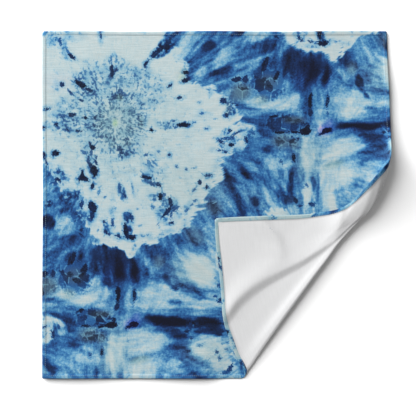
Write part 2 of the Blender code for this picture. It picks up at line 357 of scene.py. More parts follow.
# %% The grid of lines, and the points on them
FRONT_SHARES, BACK_SHARES = 250, 60  # points on each line of the front, and of the back
HEM_POINTS = 4  # how many of them lie in the hem at each end
HEM_STEP = 0.5  # from the last of those to the first on the single cloth
SHORT_LINE = 3.0  # a line with less than this between its two hems is hem from end to end
SHORT_HEM = (0.3, 0.7)  # and has these two places for its hems' inner edges
TIP = (WIDTH - FOLD_FOOT) * ACROSS[0]
FAR_CORNER = -FOLD_FOOT * ACROSS[0] - HEIGHT * ALONG[0]
# Columns: from and to, measured past the fold, and the number of lines between.
STRETCHES = (
    (FAR_CORNER + CORNER_CUT, -60.0, 206),
    (-60.0, -5.0, 26),
    (-5.0, 5.0, 20),
    (5.0, 60.0, 30),
    (60.0, TIP - CORNER_CUT, 36),
)


def line_places():
    """How far past the fold each line is."""
    runs = [np.linspace(a, b, count, endpoint=False) for a, b, count in STRETCHES[:-1]]
    return np.concatenate(runs + [np.linspace(*STRETCHES[-1])])


def shares(d, count):
    """Points along each line: evenly over each hem and evenly between them, with two close together at each
    hem's inner edge."""
    start, end = flat_ends(d)
    way = end - start
    length = np.linalg.norm(way, axis=1)
    low, high = np.zeros(len(d)), np.ones(len(d))
    for axis, size in ((0, WIDTH), (1, HEIGHT)):
        low = np.maximum(low, (HEM_WIDTH - start[:, axis]) / way[:, axis])
        high = np.minimum(high, (size - HEM_WIDTH - start[:, axis]) / way[:, axis])
    short = (high - low) * length < SHORT_LINE
    low[short], high[short] = SHORT_HEM
    step = np.minimum(HEM_STEP / length, (high - low) / 4)
    hem = np.linspace(0, 1, HEM_POINTS)
    inner = np.linspace(0, 1, count - 2 * HEM_POINTS)
    return np.column_stack([
        low[:, None] * hem,
        (low + step)[:, None] + (high - low - 2 * step)[:, None] * inner,
        high[:, None] + (1 - high)[:, None] * hem,
    ])


print("lines parallel to the fold:", len(line_places()))

# %% Join front, back and edge into one closed skin
def grid_faces(rows, cols, first):
    """The faces between neighbouring points of a grid, and the points' numbers, counted from first."""
    i = np.arange(rows * cols).reshape(rows, cols) + first
    return np.stack([i[:-1, :-1], i[1:, :-1], i[1:, 1:], i[:-1, 1:]], -1).reshape(-1, 4), i


def cloth_mesh():
    """The closed skin, with the place on the flat square of each of its points."""
    d = line_places()
    front_flat, front = side(d, shares(d, FRONT_SHARES), 1)
    back_flat, back = side(d, shares(d, BACK_SHARES), -1)
    points = np.concatenate([front.reshape(-1, 3), back.reshape(-1, 3)])
    points[:, :2] -= SOLID_CENTRE
    flat = np.concatenate([front_flat.reshape(-1, 2), back_flat.reshape(-1, 2)])
    front_faces, i = grid_faces(len(d), FRONT_SHARES, 0)
    back_faces, j = grid_faces(len(d), BACK_SHARES, i.size)
    rims = (i[:, 0], j[:, 0]), (j[:, -1], i[:, -1])
    walls = [np.stack([a[:-1], b[:-1], b[1:], a[1:]], -1) for a, b in rims]
    faces = front_faces.tolist() + back_faces[:, ::-1].tolist() + np.concatenate(walls).tolist()
    faces += [i[0].tolist() + j[0, ::-1].tolist(), j[-1].tolist() + i[-1, ::-1].tolist()]
    mesh = bpy.data.meshes.new("bandana_cloth")
    mesh.from_pydata((points * MM).tolist(), [], faces)
    mesh.polygons.foreach_set("use_smooth", [True] * len(mesh.polygons))
    look = np.zeros(len(faces), np.int32)
    look[len(front_faces) :] = 1
    mesh.polygons.foreach_set("material_index", look)
    corner = np.empty(len(mesh.loops), np.int32)
    mesh.loops.foreach_get("vertex_index", corner)
    uv = mesh.uv_layers.new(name="cloth")
    uv.uv.foreach_set("vector", (flat[corner] / (WIDTH, HEIGHT)).ravel())
    return mesh, flat


mesh, flat = cloth_mesh()
cloth = bpy.data.objects.new("bandana_cloth", mesh)
bpy.context.scene.collection.objects.link(cloth)
mesh.calc_loop_triangles()
print("cloth triangles:", len(mesh.loop_triangles))

# %% [markdown]
# ## The print: one repeat of tie-dye
#
# Indigo tie-dye is white cloth that was bunched up, tied and dipped. The dye is pale where the knots held
# it off and nearly black where it pooled. A printed bandana repeats a picture of such a cloth. It could be
# an image, but a chart of brush dabs keeps it editable: each row below is one soft dab of dye, with its
# place, size, slant and depth. The whole chart is drawn on squares of 1.59 mm, and it repeats in a half
# drop, so a copy of every dab lies half a repeat across and half a repeat down.

# %% Chart squares and the half drop
SQUARE = 1.5896  # millimetres on the cloth
CHART_LEFT, CHART_BOTTOM = 42.5, 378.6  # where the cloth's lower left corner is on the chart, with y down
REPEAT = np.array([386.0, 388.0])
ROSETTE = (115.0, 120.0)  # the middle of one rosette


def chart_place(flat):
    """Millimetres on the flat cloth to squares on the chart."""
    return np.stack([CHART_LEFT + flat[:, 0] / SQUARE, CHART_BOTTOM - flat[:, 1] / SQUARE], -1)


def offset(place, x, y):
    """From each place to the nearest copy of x, y: the shorter of the way within the straight repeat and
    the way within the one that is dropped by half."""
    way = place - (x, y)
    straight = way - REPEAT * np.round(way / REPEAT)
    dropped = way - REPEAT / 2
    dropped -= REPEAT * np.round(dropped / REPEAT)
    nearer = (straight**2).sum(-1) < (dropped**2).sum(-1)
    return np.where(nearer[:, None], straight, dropped)


def dab_reach(place, x, y, length, width, slant):
    """0 in the middle of a dab and 1 on its outline, an ellipse whose long axis slants down to the
    right."""
    way = offset(place, x, y)
    c, s = math.cos(math.radians(slant)), math.sin(math.radians(slant))
    along = (way[:, 0] * c + way[:, 1] * s) * 2 / length
    across = (way[:, 1] * c - way[:, 0] * s) * 2 / width
    return np.hypot(along, across)


# %% A cloud of noise
def cloud(place, size, seed):
    """Smooth noise from -1 to 1 that repeats with the chart: random knots on a grid, with a soft S from
    each to the next."""
    count = np.round(REPEAT / size).astype(int)
    knots = np.random.default_rng(seed).uniform(-1, 1, count[::-1])
    at = place / (REPEAT / count)
    cell = np.floor(at).astype(int)
    soft = ease(at - cell, 0, 1)
    x0, y0 = (cell % count).T
    x1, y1 = ((cell + 1) % count).T
    top = knots[y0, x0] * (1 - soft[:, 0]) + knots[y0, x1] * soft[:, 0]
    low = knots[y1, x0] * (1 - soft[:, 0]) + knots[y1, x1] * soft[:, 0]
    return top * (1 - soft[:, 1]) + low * soft[:, 1]


# %% Streaks that follow the folds
FLOW_LEVEL = 25  # squares times squares: nearer than its root, a row's weight hardly grows
STREAK_STEPS = 8  # each way along the streamline
STREAK_TURN = 3  # the heading is read again after so many of them
STREAK_GAIN = 2.4  # a mean of so many clouds is weak, so it is made stronger by this
# Columns: x, y and the slant of the streaks there, in degrees down to the right.
FLOW = (
    (60, 245, -25), (50, 215, -35), (85, 250, -60), (105, 255, 78), (118, 290, 90), (133, 290, 92),
    (145, 265, 115), (160, 255, 75), (185, 250, 55), (205, 235, 60), (215, 210, 50), (230, 180, 60),
    (240, 200, 62), (248, 175, 52), (262, 190, 50), (80, 290, -30), (60, 280, 70), (160, 295, -60),
    (190, 285, 18), (180, 325, 6), (90, 325, -3), (60, 318, 10), (65, 345, 15), (55, 370, 45),
    (75, 385, 48), (92, 385, 62), (99, 375, 88), (125, 390, 90), (150, 350, -20), (170, 345, 12),
    (180, 370, 30), (215, 50, -48), (235, 50, -35), (258, 50, -30), (225, 85, -20), (250, 125, 5),
    (165, 45, -58), (115, 60, 90), (60, 120, 0), (170, 120, 0), (80, 85, 38), (160, 180, 50),
    (115, 190, 90),
)


def flow(place):
    """The streaks' direction, as cosine and sine: the mean of the chart's slants, each weighted by the
    inverse of its distance to the third power, taken on doubled angles so that a direction and its reverse
    are the same."""
    total = np.zeros((len(place), 2))
    for x, y, slant in FLOW:
        weight = 1 / (FLOW_LEVEL + (offset(place, x, y) ** 2).sum(-1)) ** 1.5
        turn = 2 * math.radians(slant)
        total += weight[:, None] * (math.cos(turn), math.sin(turn))
    turn = np.arctan2(total[:, 1], total[:, 0]) / 2
    return np.stack([np.cos(turn), np.sin(turn)], -1)


def streaks(place, reach, size, seed):
    """Noise smeared along the flow: the mean of a cloud over steps to both sides on the streamline."""
    direction = flow(place)
    total = cloud(place, size, seed)
    for way in (1, -1):
        at, heading = place.copy(), direction * way
        for step in range(STREAK_STEPS):
            at = at + heading * reach / STREAK_STEPS
            if (step + 1) % STREAK_TURN == 0:
                turned = flow(at)
                turned *= np.sign((turned * heading).sum(-1, keepdims=True))
                heading = turned
            total = total + cloud(at, size, seed)
    return total / (2 * STREAK_STEPS + 1) * STREAK_GAIN


print("places where the streaks' slant is given:", len(FLOW))

# %% [markdown]
# The dye between the rosettes comes first, from broad pools to narrow streaks. Each dab covers what is
# under it, as a brush does, and its outline is soft by its own amount. Depth runs from 0, white cloth, to
# 1, nearly black.

# %% Chart of the dye between the rosettes
# Columns: x, y, length, width, slant, depth and softness.
GROUND = 0.5
POOLS = (
    (230, 50, 90, 50, -35, 0.64, 0.5), (262, 38, 40, 22, -20, 0.64, 0.6), (255, 105, 34, 36, 90, 0.48, 0.6),
    (226, 55, 46, 13, -48, 0.26, 0.8), (243, 43, 24, 9, -40, 0.3, 0.8), (236, 64, 22, 6, -30, 0.35, 0.7),
    (238, 32, 18, 8, -10, 0.82, 0.6), (254, 51, 22, 12, -35, 0.82, 0.6), (222, 70, 28, 8, -15, 0.86, 0.5),
    (209, 47, 17, 10, -52, 0.96, 0.4), (201, 54, 16, 5, -60, 0.8, 0.5), (192, 64, 18, 9, -55, 0.8, 0.5),
    (214, 38, 18, 10, -50, 0.5, 0.6), (262, 68, 28, 11, -62, 0.95, 0.4), (250, 124, 32, 13, 4, 0.8, 0.5),
    (263, 135, 20, 11, 30, 0.8, 0.5), (250, 146, 26, 12, 20, 0.6, 0.6), (250, 90, 16, 12, -40, 0.3, 0.6),
    (188, 42, 34, 15, -48, 0.24, 0.5), (178, 56, 26, 10, -52, 0.16, 0.5), (200, 72, 16, 10, -40, 0.36, 0.6),
    (186, 79, 10, 8, -20, 0.8, 0.5), (194, 62, 26, 12, -55, 0.72, 0.6), (208, 48, 20, 13, -52, 0.9, 0.5),
    # beside and below the rosette on the right
    (245, 180, 80, 50, 55, 0.52, 0.5), (246, 178, 50, 18, 50, 0.4, 0.7), (236, 168, 30, 7, 45, 0.42, 0.7),
    (233, 186, 54, 13, 57, 0.85, 0.6), (226, 176, 20, 9, 60, 0.92, 0.5), (242, 204, 22, 9, 58, 0.92, 0.5),
    (244, 214, 20, 10, 90, 0.85, 0.5), (252, 196, 40, 8, 50, 0.72, 0.7), (228, 202, 26, 12, 60, 0.45, 0.6),
    (225, 213, 20, 8, 40, 0.55, 0.7), (214, 207, 28, 12, 80, 0.76, 0.5), (240, 155, 22, 9, -20, 0.72, 0.6),
    (252, 166, 18, 9, 30, 0.7, 0.6), (246, 148, 14, 8, 60, 0.82, 0.5),
    (196, 240, 44, 34, 60, 0.56, 0.5), (185, 230, 22, 12, 50, 0.78, 0.5), (197, 238, 26, 15, 40, 0.7, 0.6),
    (207, 232, 28, 10, 90, 0.5, 0.6), (205, 228, 10, 5, 80, 0.4, 0.6), (206, 248, 14, 6, 50, 0.72, 0.6),
    (205, 216, 12, 8, 60, 0.42, 0.6), (178, 238, 28, 12, -60, 0.62, 0.6),
    # the dark mass below the rosette
    (170, 255, 46, 26, 70, 0.52, 0.6), (153, 252, 26, 16, 60, 0.84, 0.5), (162, 262, 22, 7, 70, 0.75, 0.6),
    (179, 252, 30, 5, 58, 0.36, 0.7), (190, 256, 34, 6, 50, 0.4, 0.7), (172, 244, 20, 5, 70, 0.5, 0.7),
    (117, 266, 50, 44, 92, 0.92, 0.45), (94, 258, 28, 15, 92, 0.92, 0.5), (104, 274, 34, 12, 80, 0.84, 0.6),
    (98, 269, 18, 4, 70, 0.66, 0.7), (120, 268, 40, 9, 92, 0.98, 0.5), (111, 274, 22, 4, 85, 0.72, 0.8),
    (128, 275, 26, 4, 92, 0.7, 0.8), (134, 268, 34, 8, 94, 1.0, 0.5), (119, 290, 36, 5, 92, 0.98, 0.5),
    (143, 268, 28, 10, 75, 0.74, 0.6), (149, 267, 20, 5, 58, 0.34, 0.7), (146, 284, 22, 10, 100, 0.5, 0.7),
    (122, 294, 34, 20, 90, 0.66, 0.6), (127, 304, 50, 5, 93, 0.34, 0.7), (112, 300, 22, 6, 85, 0.6, 0.7),
    # on the left, from the rosette down to the dark band
    (56, 236, 44, 30, -25, 0.64, 0.5), (62, 224, 36, 26, 0, 0.3, 0.5), (52, 213, 14, 7, -40, 0.6, 0.5),
    (65, 207, 20, 6, -15, 0.74, 0.5), (67, 198, 28, 14, -12, 0.6, 0.5), (79, 214, 14, 10, 25, 0.74, 0.5),
    (47, 222, 18, 15, 90, 0.92, 0.4), (72, 240, 30, 15, -25, 0.82, 0.5), (58, 250, 36, 7, -25, 0.76, 0.7),
    (52, 233, 26, 7, -10, 0.55, 0.7), (88, 236, 22, 12, 100, 0.45, 0.6), (101, 248, 20, 14, 70, 0.86, 0.4),
    (56, 262, 34, 18, -10, 0.5, 0.6), (76, 268, 40, 30, -50, 0.74, 0.5), (50, 288, 20, 28, 90, 0.44, 0.6),
    (78, 296, 60, 22, -6, 0.2, 0.5), (92, 284, 26, 10, -60, 0.34, 0.6), (104, 294, 18, 8, 100, 0.22, 0.6),
    (60, 276, 22, 7, 60, 0.4, 0.7), (56, 303, 26, 6, 3, 0.6, 0.6),
    # on the right of the streaks
    (158, 298, 48, 32, 0, 0.2, 0.45), (153, 298, 16, 22, 90, 0.2, 0.6), (172, 272, 30, 20, 70, 0.52, 0.6),
    (166, 278, 18, 9, 82, 0.9, 0.4), (172, 289, 10, 5, 45, 0.85, 0.5), (180, 262, 26, 10, 60, 0.36, 0.6),
    (200, 270, 46, 32, 62, 0.05, 0.5), (180, 276, 18, 8, 60, 0.3, 0.6), (188, 287, 46, 8, 16, 0.56, 0.5),
    (196, 291, 16, 4, 20, 0.76, 0.5), (214, 296, 18, 10, 10, 0.34, 0.5), (196, 304, 56, 12, 0, 0.16, 0.4),
    (177, 305, 17, 8, 25, 0.52, 0.5), (187, 307, 12, 3, -8, 0.4, 0.6), (180, 295, 10, 4, 20, 0.42, 0.6),
    (211, 252, 22, 8, 70, 0.3, 0.6), (218, 262, 26, 8, 90, 0.15, 0.5),
)
# The dark band across the middle of the repeat, and the ground below it down to the next rosette.
BAND = (
    (95, 318, 110, 17, 2, 0.62, 0.6), (190, 314, 76, 10, 0, 0.55, 0.7), (52, 317, 22, 10, 5, 0.84, 0.4),
    (67, 317, 14, 11, 0, 0.76, 0.4), (70, 324, 28, 6, 18, 0.76, 0.5), (82, 319, 16, 9, 0, 0.72, 0.5),
    (96, 320, 26, 5, 0, 0.48, 0.6), (126, 330, 40, 9, 93, 0.3, 0.7), (132, 316, 16, 10, 90, 0.5, 0.7),
    (146, 324, 30, 4, -2, 0.62, 0.6), (168, 322, 56, 11, 3, 1.0, 0.4), (172, 332, 38, 10, 10, 0.86, 0.4),
    (180, 342, 26, 14, 20, 0.76, 0.5), (189, 325, 8, 18, 0, 0.84, 0.6), (208, 324, 38, 15, 4, 0.96, 0.4),
    (215, 332, 24, 9, -10, 0.9, 0.4), (203, 331, 16, 8, -5, 0.86, 0.5), (191, 334, 18, 7, 60, 0.42, 0.5),
    (206, 339, 30, 5, -12, 0.36, 0.6), (48, 330, 28, 13, 90, 0.08, 0.4), (57, 323, 18, 6, 30, 0.16, 0.5),
    (72, 339, 38, 20, -5, 0.68, 0.5), (74, 343, 12, 9, 0, 0.84, 0.5), (62, 330, 12, 5, 0, 0.3, 0.6),
    (97, 336, 30, 14, 0, 0.5, 0.5), (60, 352, 40, 14, 6, 0.54, 0.5), (92, 350, 30, 6, 0, 0.56, 0.6),
    (56, 334, 14, 6, 75, 0.74, 0.5), (52, 350, 20, 8, 0, 0.74, 0.5), (60, 366, 50, 24, 42, 0.53, 0.5),
    (52, 366, 22, 10, 48, 0.84, 0.6), (66, 355, 14, 8, 20, 0.66, 0.5), (86, 357, 32, 12, 8, 0.24, 0.5),
    (89, 354, 10, 4, 60, 0.58, 0.5), (70, 366, 26, 6, 30, 0.4, 0.6), (82, 373, 34, 14, 45, 0.44, 0.5),
    (97, 374, 24, 6, 86, 0.8, 0.6), (114, 354, 48, 18, 90, 0.13, 0.6), (134, 341, 30, 30, 0, 0.22, 0.6),
    (147, 343, 54, 30, 0, 0.2, 0.6),
    (142, 370, 46, 34, 0, 0.17, 0.6), (160, 362, 30, 12, 90, 0.3, 0.6), (122, 371, 16, 9, 85, 0.34, 0.5),
    (108, 373, 8, 9, 90, 0.46, 0.5), (168, 372, 46, 12, -50, 0.3, 0.5), (180, 352, 34, 14, 10, 0.6, 0.5),
    (186, 346, 18, 8, 15, 0.78, 0.5), (186, 357, 18, 8, 5, 0.66, 0.5), (197, 351, 12, 4, -12, 0.56, 0.5),
    (209, 350, 42, 24, 5, 0.1, 0.35), (193, 365, 20, 9, 15, 0.6, 0.5), (196, 375, 38, 10, 5, 0.66, 0.5),
    (222, 365, 40, 24, 60, 0.14, 0.4), (172, 388, 44, 20, 30, 0.44, 0.5), (230, 385, 40, 30, 0, 0.35, 0.5),
    (60, 393, 46, 26, 48, 0.5, 0.5), (74, 391, 44, 8, 50, 0.3, 0.6), (84, 380, 30, 8, 52, 0.46, 0.5),
    (89, 391, 26, 9, 46, 0.76, 0.6), (61, 396, 14, 10, 40, 0.88, 0.5), (96, 396, 12, 9, 0, 0.86, 0.7),
    (96, 386, 26, 8, 70, 0.76, 0.6), (114, 390, 34, 12, 90, 0.1, 0.4), (110, 396, 14, 5, 80, 0.45, 0.5),
    (135, 392, 40, 14, 92, 0.1, 0.4), (125, 388, 34, 4, 92, 0.7, 0.5), (120, 378, 14, 5, 70, 0.62, 0.5),
    (148, 385, 20, 7, -22, 0.5, 0.5), (112, 404, 40, 8, 0, 0.4, 0.5),
)
print("dabs between the rosettes:", len(POOLS + BAND))

# %% [markdown]
# A rosette is what the knot kept white: a large pale patch with a lobed outline, given here as its radius
# in each direction. Its centre is speckled grey, and dye has crept in along the pleats as small dabs.

# %% Chart of the pale rosette
# Columns: direction in degrees down from the right, and radius.
ROSETTE_OUTLINE = (
    (0, 123), (10, 126), (20, 118), (30, 122), (40, 121), (50, 127), (58, 126), (70, 128), (80, 134),
    (90, 125), (100, 118), (110, 100), (120, 90), (130, 84), (140, 84), (160, 82), (180, 79), (200, 87),
    (210, 98), (220, 106), (235, 106), (250, 103), (270, 100), (290, 103), (300, 104), (310, 97), (318, 89),
    (325, 88), (332, 89), (340, 100), (345, 110), (350, 117), (360, 123),
)
ROSETTE_DEPTH = 0.05
# How densely small grains of dye lie there. Columns: x, y, length, width, slant, density and softness.
ROSETTE_DABS = (
    (120, 150, 190, 170, 0, 0.17, 0.3), (115, 118, 126, 118, 0, 0.28, 0.3),
    (112, 88, 112, 66, 0, 0.44, 0.4), (76, 118, 52, 44, 0, 0.42, 0.5), (60, 60, 50, 60, 0, 0.14, 0.5),
    (180, 120, 60, 40, 0, 0.17, 0.5), (118, 168, 90, 50, 0, 0.24, 0.5), (150, 134, 50, 26, 10, 0.15, 0.5),
    (117, 126, 64, 62, 80, 0.58, 0.4), (117, 121, 32, 30, 0, 0.46, 0.6), (123, 148, 24, 20, 90, 0.68, 0.5),
    (115, 122, 8, 8, 0, 0.3, 0.5), (56, 41, 24, 17, 20, 0.5, 0.6), (72, 36, 40, 12, 0, 0.36, 0.6),
    (69, 54, 22, 12, 45, 0.46, 0.6), (130, 34, 60, 16, 0, 0.1, 0.5), (140, 50, 40, 30, 0, 0.08, 0.5),
    (86, 85, 34, 17, 38, 0.68, 0.6), (98, 82, 18, 9, 60, 0.56, 0.6), (112, 70, 26, 10, 90, 0.76, 0.5),
    (113, 60, 22, 8, 90, 0.44, 0.6), (134, 76, 28, 20, 0, 0.48, 0.6), (150, 92, 30, 14, -35, 0.4, 0.6),
    (64, 122, 26, 23, 10, 0.62, 0.6), (60, 88, 26, 14, 30, 0.3, 0.6), (68, 131, 26, 6, 3, 0.6, 0.6),
    (95, 123, 26, 16, 0, 0.7, 0.6), (141, 122, 22, 15, 90, 0.7, 0.6), (118, 96, 18, 16, 0, 0.66, 0.6),
    (168, 124, 24, 13, 5, 0.56, 0.7), (182, 124, 18, 7, -10, 0.5, 0.6), (147, 66, 12, 8, -50, 0.5, 0.5),
    (165, 46, 40, 15, -46, 0.86, 0.4), (174, 36, 22, 10, -50, 0.8, 0.5), (190, 76, 20, 12, -50, 0.5, 0.6),
    (90, 158, 36, 14, 72, 0.54, 0.5), (94, 172, 14, 12, 70, 0.8, 0.5), (86, 154, 16, 10, 30, 0.5, 0.6),
    (150, 160, 26, 16, 70, 0.42, 0.5), (151, 178, 24, 13, 35, 0.66, 0.5), (160, 170, 18, 12, 20, 0.4, 0.6),
    (122, 192, 20, 10, 80, 0.6, 0.6), (134, 188, 18, 4, 75, 0.4, 0.6), (101, 184, 26, 8, 75, 0.26, 0.6),
    (113, 208, 30, 7, 90, 0.36, 0.6), (128, 216, 14, 9, 90, 0.7, 0.5), (129, 231, 18, 10, 85, 0.74, 0.5),
    (106, 228, 24, 9, 85, 0.56, 0.5), (120, 238, 30, 6, 5, 0.4, 0.6), (166, 210, 34, 17, 115, 0.56, 0.6),
    (172, 204, 18, 11, 30, 0.6, 0.6), (158, 198, 16, 9, 10, 0.6, 0.5), (190, 186, 40, 12, 85, 0.26, 0.6),
    (186, 206, 34, 10, -45, 0.36, 0.6), (204, 178, 16, 12, 0, 0.34, 0.6), (146, 236, 30, 8, 0, 0.3, 0.6),
    (229, 108, 24, 13, 75, 0.66, 0.5), (207, 120, 16, 18, 0, 0.24, 0.6), (230, 138, 26, 18, 60, 0.56, 0.5),
    (222, 150, 14, 12, 0, 0.5, 0.5), (216, 168, 20, 9, 90, 0.34, 0.6), (196, 88, 30, 8, -30, 0.2, 0.6),
    (56, 154, 14, 10, 0, 0.4, 0.6), (48, 126, 16, 10, 0, 0.4, 0.6), (46, 108, 12, 7, 0, 0.4, 0.6),
    # what has crept over the lower left of the outline
    (56, 177, 28, 20, 0, 0.66, 0.5), (64, 226, 34, 24, 0, 0.4, 0.6), (88, 240, 26, 12, 20, 0.5, 0.6),
    (50, 196, 18, 10, 0, 0.5, 0.6), (68, 198, 32, 20, -12, 0.76, 0.5), (46, 204, 14, 9, 10, 0.86, 0.4),
    (66, 221, 24, 18, 0, 0.3, 0.5), (78, 216, 22, 13, 25, 0.76, 0.5), (83, 229, 17, 12, 70, 0.82, 0.5),
    (92, 214, 24, 12, 80, 0.7, 0.5), (82, 202, 16, 9, 80, 0.56, 0.5),
)
print("dabs in the rosette:", len(ROSETTE_DABS))

# %% [markdown]
# Where dye ran through a gap between two pleats it left small, nearly black marks with crisp outlines.
# They are a chart of their own, because a dab's soft outline would blur them. Over some places the blue
# turns grey, violet or green, and a dark ground is broken into small cells.

